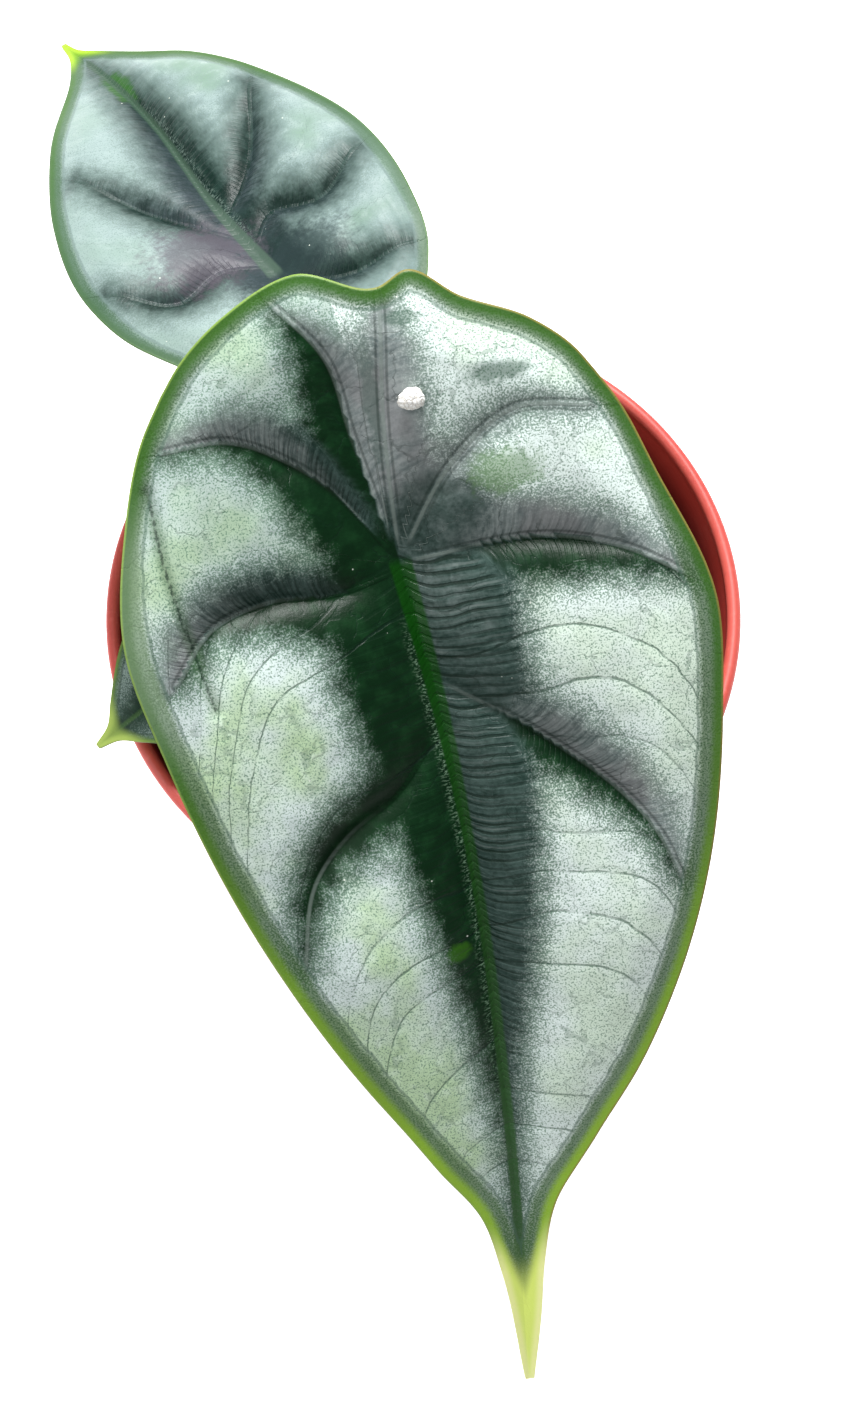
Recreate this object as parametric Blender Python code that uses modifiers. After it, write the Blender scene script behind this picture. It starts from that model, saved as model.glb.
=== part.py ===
"""Potted alocasia: a tapered nursery pot full of soil, a short stem base with three leaf stalks,
three blades hung from them, and the loose grains and chips that lie on the soil.

Metres, +Z up. The pot stands on its flat bottom with its axis on Z and the bottom at z = 0.
"""
import math

import bmesh
import bpy
import numpy as np
from mathutils import Vector, noise

for old in list(bpy.data.objects):
    bpy.data.objects.remove(old, do_unlink=True)

# ---- driving sizes, metres -------------------------------------------------------------------
GAP = 0.0003              # clearance between pieces that sit against one another
POT_RADIUS = 0.0510       # outside of the rolled rim
POT_HEIGHT = 0.0880
POT_BASE = 0.0360         # radius of the flat bottom
POT_WALL = 0.0013
RIM_ROLL = 0.0011         # half the thickness of the rolled rim
COLLAR_HEIGHT = 0.0140
SOIL_DROP = 0.0110        # rim top down to the soil
DRAIN_RADIUS = 0.0040
DRAIN_COUNT = 6
CROWN_RADIUS = 0.0068     # stem base where the stalks leave it
CROWN_RISE = 0.0070       # stem base above the soil
MAIN_LENGTH = 0.1172      # junction with the stalk to the drip tip
MAIN_WIDTH = 0.0715
BACK_LENGTH = 0.0737
BACK_WIDTH = 0.0495
LOW_LENGTH = 0.0396
LOW_WIDTH = 0.0290
BLADE_THICK = 0.0009
STALK_RADIUS = 0.0019     # top of the main stalk
SHEATH_RISE = 0.0120      # how far up a stalk its swollen foot reaches
CRUMB_SPOT = (0.545, 0.097)  # share across and along the big blade
CRUMB_LIFT = 0.45         # crumb above the drawn surface, in drawn millimetres

SOIL_Z = POT_HEIGHT - SOIL_DROP
CROWN_Z = SOIL_Z + CROWN_RISE
FLOOR = 0.0015


# ---- collections and materials ---------------------------------------------------------------
def collection(name):
    made = bpy.data.collections.new(name)
    bpy.context.scene.collection.children.link(made)
    return made


PART = collection("potted_alocasia")
CUTTERS = collection("cutters")


def material(name, colour, roughness):
    made = bpy.data.materials.new(name)
    made.use_nodes = True
    shader = made.node_tree.nodes["Principled BSDF"]
    shader.inputs["Base Color"].default_value = (*colour, 1.0)
    shader.inputs["Roughness"].default_value = roughness
    shader.inputs["Metallic"].default_value = 0.0
    return made


def pot_plastic():
    return material("terracotta_plastic", (0.60, 0.10, 0.07), 0.45)


def potting_soil():
    return material("potting_soil", (0.020, 0.012, 0.008), 0.95)


def silver_blade():
    return material("silver_blade", (0.42, 0.55, 0.44), 0.42)


def back_blade():
    return material("back_blade", (0.22, 0.30, 0.28), 0.42)


def low_blade():
    return material("low_blade", (0.05, 0.10, 0.08), 0.42)


def stalk_green():
    return material("stalk_green", (0.12, 0.20, 0.06), 0.50)


def crown_brown():
    return material("crown_brown", (0.16, 0.11, 0.06), 0.75)


def perlite_white():
    return material("perlite_white", (0.82, 0.80, 0.76), 0.90)


def bark_brown():
    return material("bark_brown", (0.26, 0.15, 0.08), 0.85)


# ---- small helpers ---------------------------------------------------------------------------
def keep(name, data, paint, home=None):
    made = bpy.data.objects.new(name, data)
    (home or PART).objects.link(made)
    if paint is not None:
        data.materials.append(paint)
    return made


def keep_bmesh(name, bm, paint, home=None):
    bmesh.ops.recalc_face_normals(bm, faces=bm.faces)
    data = bpy.data.meshes.new(name)
    bm.to_mesh(data)
    bm.free()
    return keep(name, data, paint, home)


def cut(target, cutter):
    cutter.hide_render = True
    cutter.display_type = "WIRE"
    step = target.modifiers.new("cut_" + cutter.name, "BOOLEAN")
    step.operation = "DIFFERENCE"
    step.solver = "EXACT"
    step.object = cutter


def outline(profile):
    """A chain of edges through (radius, height) pairs."""
    bm = bmesh.new()
    row = [bm.verts.new((r, 0.0, z)) for r, z in profile]
    for first, second in zip(row[:-1], row[1:]):
        bm.edges.new((first, second))
    return bm


def spun(profile, steps):
    """A closed turned solid whose profile starts and ends on the axis."""
    bm = outline(profile)
    bmesh.ops.spin(bm, geom=bm.verts[:] + bm.edges[:], cent=(0, 0, 0), axis=(0, 0, 1),
                   angle=math.tau, steps=steps, use_merge=True)
    bmesh.ops.remove_doubles(bm, verts=bm.verts, dist=1e-6)
    return bm


def arc(centre, radius, start, end, count):
    """Points on a circle in the profile plane, angles in degrees."""
    points = []
    for i in range(count + 1):
        a = math.radians(start + (end - start) * i / count)
        points.append((centre[0] + radius * math.cos(a), centre[1] + radius * math.sin(a)))
    return points


# ---- pot -------------------------------------------------------------------------------------
COLLAR_TOP = POT_RADIUS - 0.0009
COLLAR_FOOT = COLLAR_TOP - 0.0014
BODY_TOP = COLLAR_FOOT - 0.0021
COLLAR_Z = POT_HEIGHT - COLLAR_HEIGHT


def pot_inside():
    """Inner wall from the floor up to the rim, as (radius, height) pairs."""
    return [
        (POT_BASE - POT_WALL - 0.0012, FLOOR),
        (POT_BASE - POT_WALL + 0.0002, FLOOR + 0.0014),
        (BODY_TOP - POT_WALL, COLLAR_Z - 0.0015),
        (COLLAR_FOOT - POT_WALL, COLLAR_Z + 0.0012),
        (COLLAR_TOP - POT_WALL, POT_HEIGHT - 0.0026),
    ]


def pot_outside():
    """Outer wall from under the rolled rim down to the bottom."""
    return [
        (COLLAR_TOP, POT_HEIGHT - 0.0026),
        (COLLAR_FOOT, COLLAR_Z + 0.0003),
        (COLLAR_FOOT - 0.0005, COLLAR_Z - 0.0003),
        (BODY_TOP, COLLAR_Z - 0.0006),
        (POT_BASE + 0.0006, 0.0016),
        (POT_BASE + 0.0002, 0.0006),
        (POT_BASE - 0.0004, 0.0),
    ]


def pot():
    roll = arc((POT_RADIUS - RIM_ROLL, POT_HEIGHT - RIM_ROLL), RIM_ROLL, 205, -55, 9)
    profile = [(0.0, FLOOR)] + pot_inside() + roll + pot_outside() + [(0.0, 0.0)]
    bm = outline(profile)
    data = bpy.data.meshes.new("pot")
    bm.to_mesh(data)
    bm.free()
    made = keep("pot", data, pot_plastic())
    turn = made.modifiers.new("turn", "SCREW")
    turn.axis = "Z"
    turn.angle = math.tau
    turn.steps = 64
    turn.render_steps = 64
    turn.use_merge_vertices = True
    turn.merge_threshold = 1e-5
    turn.use_smooth_shade = True
    drains = bmesh.new()
    for i in range(DRAIN_COUNT):
        a = math.tau * i / DRAIN_COUNT
        hole = bmesh.ops.create_cone(drains, cap_ends=True, segments=16, radius1=DRAIN_RADIUS,
                                     radius2=DRAIN_RADIUS, depth=0.012)
        ring = POT_BASE * 0.64
        shift = Vector((ring * math.cos(a), ring * math.sin(a), 0.0))
        bmesh.ops.translate(drains, verts=hole["verts"], vec=shift)
    cut(made, keep_bmesh("pot_drains", drains, None, CUTTERS))
    return made


# ---- soil ------------------------------------------------------------------------------------
def soil_height(x, y):
    """Height of the lumpy soil surface at a place."""
    r = math.hypot(x, y)
    calm = min(1.0, max(0.0, (r - 0.008) / 0.006))
    coarse = noise.noise(Vector((x * 95.0, y * 95.0, 1.7)))
    fine = noise.noise(Vector((x * 230.0, y * 230.0, 8.3)))
    dish = -0.0010 * min(1.0, r / POT_RADIUS) ** 2
    return SOIL_Z + dish + calm * (0.0012 * coarse + 0.0005 * fine)


def soil():
    inside = pot_inside()
    edge_z = SOIL_Z - 0.0014
    rise = (edge_z - inside[3][1]) / (inside[4][1] - inside[3][1])
    top = inside[3][0] + (inside[4][0] - inside[3][0]) * rise - GAP
    sides = [(r - GAP * 1.2, z + GAP) for r, z in inside[:4]]
    rings = [top * f for f in (0.985, 0.86, 0.72, 0.58, 0.44, 0.30, 0.17)]
    profile = [(0.0, SOIL_Z)] + [(r, SOIL_Z) for r in reversed(rings)]
    profile += [(top, edge_z)] + list(reversed(sides)) + [(0.0, FLOOR + GAP)]
    bm = spun(profile, 48)
    for v in bm.verts:
        if v.co.z > SOIL_Z - 1e-5:
            v.co.z = soil_height(v.co.x, v.co.y)
    made = keep_bmesh("soil", bm, potting_soil())
    cut(made, keep_bmesh("soil_socket", spun(crown_profile(GAP), 20), None, CUTTERS))
    return made


# ---- stem base -------------------------------------------------------------------------------
def crown_profile(grow):
    """The stem base, a stub ringed by old leaf scars, let 12 mm into the soil."""
    c = CROWN_RADIUS + grow
    foot = SOIL_Z - 0.0120 - grow
    return [
        (0.0, CROWN_Z + grow),
        (c * 0.90, CROWN_Z + grow),
        (c, CROWN_Z - 0.0007),
        (c * 0.97, CROWN_Z - 0.0022),
        (c * 1.03, CROWN_Z - 0.0030),
        (c * 1.00, CROWN_Z - 0.0048),
        (c * 1.06, CROWN_Z - 0.0056),
        (c * 1.00, SOIL_Z - 0.0020),
        (c * 0.72, foot + 0.0020),
        (c * 0.45, foot),
        (0.0, foot),
    ]


def crown():
    return keep_bmesh("stem_base", spun(crown_profile(0.0), 24), crown_brown())


# ---- leaf surfaces ---------------------------------------------------------------------------
def through(points):
    """A dense smooth line through the given points, with its arc length as fractions."""
    p = np.array(points, float)
    knots = np.concatenate([[0.0], np.cumsum(np.linalg.norm(np.diff(p, axis=0), axis=1))])
    slope = np.gradient(p, knots, axis=0)
    line = []
    for i in range(len(p) - 1):
        span = knots[i + 1] - knots[i]
        for t in np.linspace(0.0, 1.0, 14, endpoint=False):
            a = 2 * t ** 3 - 3 * t ** 2 + 1
            b = t ** 3 - 2 * t ** 2 + t
            c = -2 * t ** 3 + 3 * t ** 2
            d = t ** 3 - t ** 2
            line.append(a * p[i] + b * span * slope[i] + c * p[i + 1] + d * span * slope[i + 1])
    line.append(p[-1])
    line = np.array(line)
    run = np.concatenate([[0.0], np.cumsum(np.linalg.norm(np.diff(line, axis=0), axis=1))])
    return line, run / run[-1]


def at(curve, t):
    line, run = curve
    return np.array([np.interp(t, run, line[:, 0]), np.interp(t, run, line[:, 1])])


def line_distance(x, y, lines):
    """Shortest distance from a place to any of the lines, each a list of points."""
    best = 1e9
    for line in lines:
        for (ax, ay), (bx, by) in zip(line[:-1], line[1:]):
            dx, dy = bx - ax, by - ay
            t = ((x - ax) * dx + (y - ay) * dy) / (dx * dx + dy * dy)
            t = min(1.0, max(0.0, t))
            best = min(best, math.hypot(x - ax - t * dx, y - ay - t * dy))
    return best


class Blade:
    """One leaf blade.

    Across is x, toward the drip tip is -y, both in the flattened leaf with the stalk junction at
    the origin, in millimetres of the drawn leaf. The drawn leaf is stretched to the wanted size.
    """

    def __init__(self, spec):
        self.spec = spec
        self.top = through(spec["top"])
        self.left = through(spec["left"])
        self.right = through(spec["right"])
        self.across = spec["width"] / spec["drawn"][0]
        self.along = spec["length"] / spec["drawn"][1]
        a, i, r = (math.radians(spec[k]) for k in ("azimuth", "incline", "roll"))
        flat = np.array([math.cos(a), math.sin(a), 0.0])
        up = np.array([0.0, 0.0, 1.0])
        self.T = flat * math.cos(i) - up * math.sin(i)
        normal = flat * math.sin(i) + up * math.cos(i)
        side = np.cross(normal, self.T)
        self.S = side * math.cos(r) + normal * math.sin(r)
        self.N = np.cross(self.T, self.S)
        self.J = np.array(spec["junction"], float)

    def flat_point(self, u, v):
        """Position in the drawn leaf for 0..1 across and 0..1 from the lobes to the tip."""
        head, left, right = at(self.top, u), at(self.left, v), at(self.right, v)
        a, b = self.left[0][0], self.right[0][0]
        c, d = self.left[0][-1], self.right[0][-1]
        foot = c * (1 - u) + d * u
        corners = (1 - v) * ((1 - u) * a + u * b) + v * ((1 - u) * c + u * d)
        return (1 - v) * head + v * foot + (1 - u) * left + u * right - corners

    def relief(self, u, v, x, y):
        """Height of the quilted surface over the spine, in drawn millimetres.

        Both halves rise from the midrib, and the crowned panels between the veins sit on that.
        """
        half = 0.5 * float(np.linalg.norm(at(self.right, v) - at(self.left, v)))
        edge = min((1 - abs(2 * u - 1)) * half, v * self.spec["drawn"][1])
        rim = min(1.0, edge / self.spec["margin"])
        rim = rim * rim * (3 - 2 * rim)
        full_half = 0.34 * self.spec["drawn"][0]
        size = min(1.0, half / full_half)
        hollow = 1 - math.exp(-line_distance(x, y, self.spec["veins"]) / self.spec["spread"])
        away = line_distance(x, y, self.spec["veins"][:1])
        rise = self.spec["fold"] * away * (1 - 0.30 * away / full_half)
        return rise + self.spec["bulge"] * size * hollow * (0.45 + 0.55 * rim)

    def place(self, x, y, h):
        """Drawn millimetres to metres in the object, along an arched spine."""
        x, y, h = x * self.across, y * self.along, h * 0.001
        bend = math.radians(self.spec["bend"] if y < 0 else self.spec["bend_back"]) * 1000
        turn = bend * abs(y)
        way = 1.0 if y < 0 else -1.0
        out = math.sin(turn) / bend
        down = (1 - math.cos(turn)) / bend
        normal = self.N * math.cos(turn) + way * self.T * math.sin(turn)
        return self.J + self.T * out * way - self.N * down + self.S * x + normal * h

    def surface(self, u, v):
        x, y = self.flat_point(u, v)
        return self.place(x, y, self.relief(u, v, x, y))

    def underside(self):
        """Just below the junction, where the stalk stops."""
        return self.J - self.N * (BLADE_THICK + GAP - self.spec["seat"])


MAIN = Blade({
    "length": MAIN_LENGTH, "width": MAIN_WIDTH, "drawn": (71.5, 117.2),
    "junction": (-0.0027, -0.0264, POT_HEIGHT + 0.0770),
    "azimuth": -79.4, "incline": 27.6, "roll": 0.0, "bend": 0.15, "bend_back": 0.10,
    "bulge": 3.6, "fold": 0.16, "spread": 6.0, "margin": 9.0, "seat": 0.0003,
    "top": [(-25, 24), (-22.5, 27), (-16, 32), (-7, 35.5), (2.5, 32.5), (6, 34), (12, 30), (20, 26),
            (24.5, 22), (26.5, 19)],
    "left": [(-25, 24), (-28, 19.5), (-32, 9), (-34.5, -4), (-32, -19), (-26.5, -39), (-15, -65.5),
             (-8, -79), (-3, -89), (-1.5, -98), (-0.4, -117.2)],
    "right": [(26.5, 19), (28.5, 15.5), (32, 6), (37, -10), (36, -23), (31, -46), (21, -67),
              (13.5, -78.5), (7, -88), (4.5, -97), (3, -106), (0.8, -117.2)],
    "veins": [
        [(0, 0), (2, -20), (3, -45), (2.5, -72), (0, -117)],
        [(0, 0), (20, 0), (27, -2.5), (34, -7)],
        [(2, -15), (14, -24), (26, -38), (28, -44)],
        [(0.5, 1), (8, 11), (16, 16), (25, 15)],
        [(-0.5, 1), (-3.5, 16), (-5, 25), (-10.5, 32.5)],
        [(0, 0), (-10, 13), (-18, 17.5), (-26, 17.5)],
        [(0, -1), (-8, -2.5), (-17, -2), (-24, -4), (-29, -9.5)],
        [(1.5, -21), (-5, -28), (-12, -32), (-17, -37), (-20, -47)],
    ],
})

BACK = Blade({
    "length": BACK_LENGTH, "width": BACK_WIDTH, "drawn": (49.5, 73.7),
    "junction": (-0.0209, 0.0289, POT_HEIGHT + 0.0520),
    "azimuth": 122.9, "incline": 12.6, "roll": 0.0, "bend": 0.20, "bend_back": 0.15,
    "bulge": 2.5, "fold": 0.08, "spread": 6.0, "margin": 7.0, "seat": 0.0003,
    "top": [(-17.5, 13.5), (-15.5, 16), (-12.5, 18.5), (-7, 20.5), (0.5, 18), (5, 20), (12, 17.5),
            (16.5, 13), (18.5, 10)],
    "left": [(-17.5, 13.5), (-20, 9.5), (-23, 0), (-24.5, -15), (-20.5, -34), (-13, -51),
             (-3.5, -65.5), (-1, -70), (-0.4, -73.7)],
    "right": [(18.5, 10), (20.5, 6.5), (23.5, 0), (25, -10), (22, -27), (15, -43), (9, -53), (4, -61),
              (1, -69), (0.4, -73.7)],
    "veins": [
        [(0, 0), (0.5, -18), (-1, -40), (0, -73)],
        [(0, 0), (-6, 6.5), (-18, 9)],
        [(0.5, -9), (7, -18), (15, -33.5)],
        [(0, -6), (-5, -10), (-12, -7.5), (-21, -11)],
        [(0, -14), (-4, -17), (-16.5, -35.5)],
        [(0, -2), (6, -4.5), (14, -2.5), (22, -9)],
    ],
})

LOW = Blade({
    "length": LOW_LENGTH, "width": LOW_WIDTH, "drawn": (29.0, 39.6),
    "junction": (-0.0193, -0.0014, POT_HEIGHT + 0.0090),
    "azimuth": -141.9, "incline": 3.5, "roll": 0.0, "bend": 0.15, "bend_back": 0.15,
    "bulge": 1.3, "fold": 0.10, "spread": 4.0, "margin": 4.5, "seat": 0.0,
    "top": [(-12, 5.5), (-10.5, 8), (-5, 11), (0, 9), (5, 11), (10.5, 8), (12, 5.5)],
    "left": [(-12, 5.5), (-13, 3), (-14.5, -8), (-11, -26), (-4, -34), (-1.5, -36.5), (-0.4, -39.6)],
    "right": [(12, 5.5), (13, 3), (14.5, -8), (11, -26), (4, -34), (1.5, -36.5), (0.4, -39.6)],
    "veins": [
        [(0, 0), (0.3, -15), (0, -39)],
        [(0, 0), (-6, 3.5), (-11, 3)],
        [(0, 0), (6, 3.5), (11, 3)],
        [(0.2, -5), (-6, -8), (-11, -14)],
        [(0.2, -5), (6, -8), (11, -14)],
        [(0.3, -14), (-5, -19), (-8, -25)],
        [(0.3, -14), (5, -19), (8, -25)],
    ],
})


def blade(name, leaf, columns, rows, paint):
    """A grid laid on the leaf surface and thickened downward."""
    bm = bmesh.new()
    bmesh.ops.create_grid(bm, x_segments=columns, y_segments=rows, size=0.5)
    for v in bm.verts:
        v.co = leaf.surface(v.co.x + 0.5, 0.5 - v.co.y)
    for face in bm.faces:
        face.smooth = True
    bmesh.ops.recalc_face_normals(bm, faces=bm.faces)
    up = sum((face.normal.z for face in bm.faces))
    if up < 0:
        bmesh.ops.reverse_faces(bm, faces=bm.faces)
    data = bpy.data.meshes.new(name)
    bm.to_mesh(data)
    bm.free()
    made = keep(name, data, paint)
    thick = made.modifiers.new("thickness", "SOLIDIFY")
    thick.thickness = BLADE_THICK
    thick.offset = -1.0
    thick.use_even_offset = True
    return made


# ---- leaf stalks -----------------------------------------------------------------------------
def stalk(name, degrees, leaf, knee, foot_share, head_radius, paint):
    """A round stalk that leaves the crown upright and meets its blade square on from below."""
    turn = math.radians(degrees)
    ring = CROWN_RADIUS * 0.56
    foot_radius = CROWN_RADIUS * foot_share
    head_radius = min(head_radius, foot_radius * 0.70)
    foot = Vector((ring * math.cos(turn), ring * math.sin(turn), CROWN_Z + 2 * GAP))
    head = Vector(leaf.underside())
    normal = Vector(leaf.N)
    rise = Vector((foot.x * 0.5, foot.y * 0.5, 1.0)).normalized()
    reach = (head - foot).length
    a = foot + rise * reach * knee[0]
    b = head - normal * reach * knee[1]
    count = 14
    line = bpy.data.curves.new(name, "CURVE")
    line.dimensions = "3D"
    spline = line.splines.new("POLY")
    spline.points.add(count)
    for i in range(count + 1):
        t = i / count
        q = 1 - t
        p = foot * q ** 3 + a * 3 * q * q * t + b * 3 * q * t * t + head * t ** 3
        spline.points[i].co = (*p, 1.0)
        swell = math.exp(-((t * reach) / SHEATH_RISE) ** 2)
        spline.points[i].radius = head_radius + (foot_radius - head_radius) * (0.35 * q + 0.65 * swell)
    line.bevel_depth = 1.0
    line.bevel_resolution = 2
    line.use_fill_caps = True
    return keep(name, line, paint)


# ---- grains and chips lying on the soil ------------------------------------------------------
def soil_top_under(x, y, reach):
    """Highest soil within reach of a place."""
    best = soil_height(x, y)
    for i in range(12):
        a = math.tau * i / 12
        for f in (0.5, 1.0):
            best = max(best, soil_height(x + reach * f * math.cos(a), y + reach * f * math.sin(a)))
    return best


def grain_mesh(size, seed):
    """A pitted rounded grain, longer than it is wide."""
    bm = bmesh.new()
    bmesh.ops.create_icosphere(bm, subdivisions=2, radius=size * 0.5)
    for v in bm.verts:
        unit = v.co.normalized()
        lump = noise.noise(unit * 1.9 + Vector((seed * 3.1, 0.7, 0.0)))
        v.co = Vector((v.co.x * 1.25, v.co.y, v.co.z * 0.85)) * (1.0 + 0.30 * lump)
    return bm


def chip_mesh(length, width, thick, seed):
    """A flat splinter of bark with uneven ends."""
    bm = bmesh.new()
    bmesh.ops.create_cube(bm, size=1.0)
    bmesh.ops.subdivide_edges(bm, edges=bm.edges[:], cuts=1, use_grid_fill=True)
    for v in bm.verts:
        lump = noise.noise(Vector((v.co.x * 2.3, v.co.y * 2.3, seed * 1.7)))
        rounded = 1.0 - 0.22 * (abs(2 * v.co.x * v.co.y) + abs(v.co.x * v.co.z))
        v.co.x *= length * rounded * (1 + 0.3 * lump)
        v.co.y *= width * rounded * (1 - 0.4 * lump)
        v.co.z *= thick * (1 - 0.3 * abs(lump))
    return bm


def lay(bm, x, y, turn):
    """Turn a loose piece about Z and set it down on the soil."""
    c, s = math.cos(turn), math.sin(turn)
    for v in bm.verts:
        v.co.x, v.co.y = c * v.co.x - s * v.co.y, s * v.co.x + c * v.co.y
    reach = max(math.hypot(v.co.x, v.co.y) for v in bm.verts)
    low = min(v.co.z for v in bm.verts)
    z = soil_top_under(x, y, reach) + 0.0002 - low
    bmesh.ops.translate(bm, verts=bm.verts, vec=Vector((x, y, z)))


# (angle in degrees, share of the soil radius, size in mm)
GRAINS = [(8, 0.86, 2.6), (21, 0.93, 1.9), (-12, 0.90, 2.1), (38, 0.80, 2.3), (-34, 0.72, 1.8),
          (64, 0.62, 2.4), (118, 0.83, 2.0), (165, 0.76, 2.5), (212, 0.90, 2.2), (-70, 0.85, 2.4),
          (-108, 0.60, 2.0)]
# (angle, share of the soil radius, length, width, turn in degrees), sizes in mm
CHIPS = [(2, 0.72, 7.5, 2.2, 60), (30, 0.66, 6.0, 2.6, 130), (-24, 0.84, 8.0, 1.8, 80),
         (50, 0.86, 6.5, 2.4, 10), (92, 0.80, 7.0, 2.8, 35), (140, 0.60, 6.0, 2.2, 100),
         (188, 0.62, 5.5, 2.6, 20), (-50, 0.55, 6.5, 2.2, 150), (-90, 0.74, 7.5, 2.4, 5),
         (-132, 0.78, 6.0, 2.8, 70)]


def loose_pieces():
    white, brown = perlite_white(), bark_brown()
    floor_radius = COLLAR_FOOT - POT_WALL - 0.0030
    for i, (angle, share, size) in enumerate(GRAINS):
        a = math.radians(angle)
        bm = grain_mesh(size * 0.001, i)
        lay(bm, floor_radius * share * math.cos(a), floor_radius * share * math.sin(a), i * 0.9)
        keep_bmesh("perlite_%02d" % (i + 1), bm, white)
    for i, (angle, share, length, width, turn) in enumerate(CHIPS):
        a = math.radians(angle)
        bm = chip_mesh(length * 0.001, width * 0.001, 0.0013, i)
        lay(bm, floor_radius * share * math.cos(a), floor_radius * share * math.sin(a),
            math.radians(turn))
        keep_bmesh("bark_chip_%02d" % (i + 1), bm, brown)


def leaf_crumb():
    """A crumb of perlite that has dropped on the big blade, above the junction."""
    bm = grain_mesh(0.0026, 21)
    normal = Vector(MAIN.N)
    turn = normal.to_track_quat("Z", "Y").to_matrix()
    bmesh.ops.rotate(bm, verts=bm.verts, cent=(0, 0, 0), matrix=turn)
    low = min(v.co.dot(normal) for v in bm.verts)
    u, v = CRUMB_SPOT
    x, y = MAIN.flat_point(u, v)
    spot = Vector(MAIN.place(x, y, MAIN.relief(u, v, x, y) + CRUMB_LIFT)) - normal * low
    bmesh.ops.translate(bm, verts=bm.verts, vec=spot)
    keep_bmesh("leaf_crumb", bm, perlite_white())


# ---- the object ------------------------------------------------------------------------------
pot()
soil()
crown()
green = stalk_green()
stalk("stalk_main", -90, MAIN, (0.45, 0.35), 0.42, STALK_RADIUS, green)
stalk("stalk_back", 60, BACK, (0.45, 0.30), 0.38, STALK_RADIUS * 0.80, green)
stalk("stalk_low", 180, LOW, (0.48, 0.22), 0.32, STALK_RADIUS * 0.65, green)
blade("blade_main", MAIN, 16, 34, silver_blade())
blade("blade_back", BACK, 14, 20, back_blade())
blade("blade_low", LOW, 12, 14, low_blade())
loose_pieces()
leaf_crumb()
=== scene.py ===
"""Looks of the potted alocasia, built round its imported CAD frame. Metres, +Z up, pot axis on Z."""
import math

import bmesh
import bpy
import numpy as np
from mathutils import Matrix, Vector, kdtree, noise


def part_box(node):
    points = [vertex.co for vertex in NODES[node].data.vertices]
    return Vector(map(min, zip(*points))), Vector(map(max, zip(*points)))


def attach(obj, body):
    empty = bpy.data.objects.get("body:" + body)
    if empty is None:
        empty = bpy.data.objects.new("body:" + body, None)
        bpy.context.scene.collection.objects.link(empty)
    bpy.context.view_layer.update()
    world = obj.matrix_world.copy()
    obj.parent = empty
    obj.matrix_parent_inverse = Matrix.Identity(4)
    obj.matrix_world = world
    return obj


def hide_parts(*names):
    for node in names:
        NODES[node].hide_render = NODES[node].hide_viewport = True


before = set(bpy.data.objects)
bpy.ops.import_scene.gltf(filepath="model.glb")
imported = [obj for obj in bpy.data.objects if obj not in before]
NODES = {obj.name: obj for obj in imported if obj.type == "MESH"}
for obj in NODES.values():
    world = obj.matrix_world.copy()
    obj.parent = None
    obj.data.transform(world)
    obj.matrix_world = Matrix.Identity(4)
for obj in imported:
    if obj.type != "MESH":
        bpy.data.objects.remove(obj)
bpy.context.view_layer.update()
RNG = np.random.default_rng(7)

# ---- sizes taken from the frame --------------------------------------------------------------
POT_LOW, POT_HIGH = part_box("pot")
POT_RADIUS = POT_HIGH.x
POT_HEIGHT = POT_HIGH.z
CROWN_LOW, CROWN_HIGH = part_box("stem_base")
CROWN_RADIUS = CROWN_HIGH.x / 1.06
CROWN_Z = CROWN_HIGH.z


def srgb(r, g, b):
    """8-bit screen colour to linear."""
    out = []
    for c in (r, g, b):
        c = c / 255.0
        out.append(c / 12.92 if c <= 0.04045 else ((c + 0.055) / 1.055) ** 2.4)
    return tuple(out)


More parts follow.
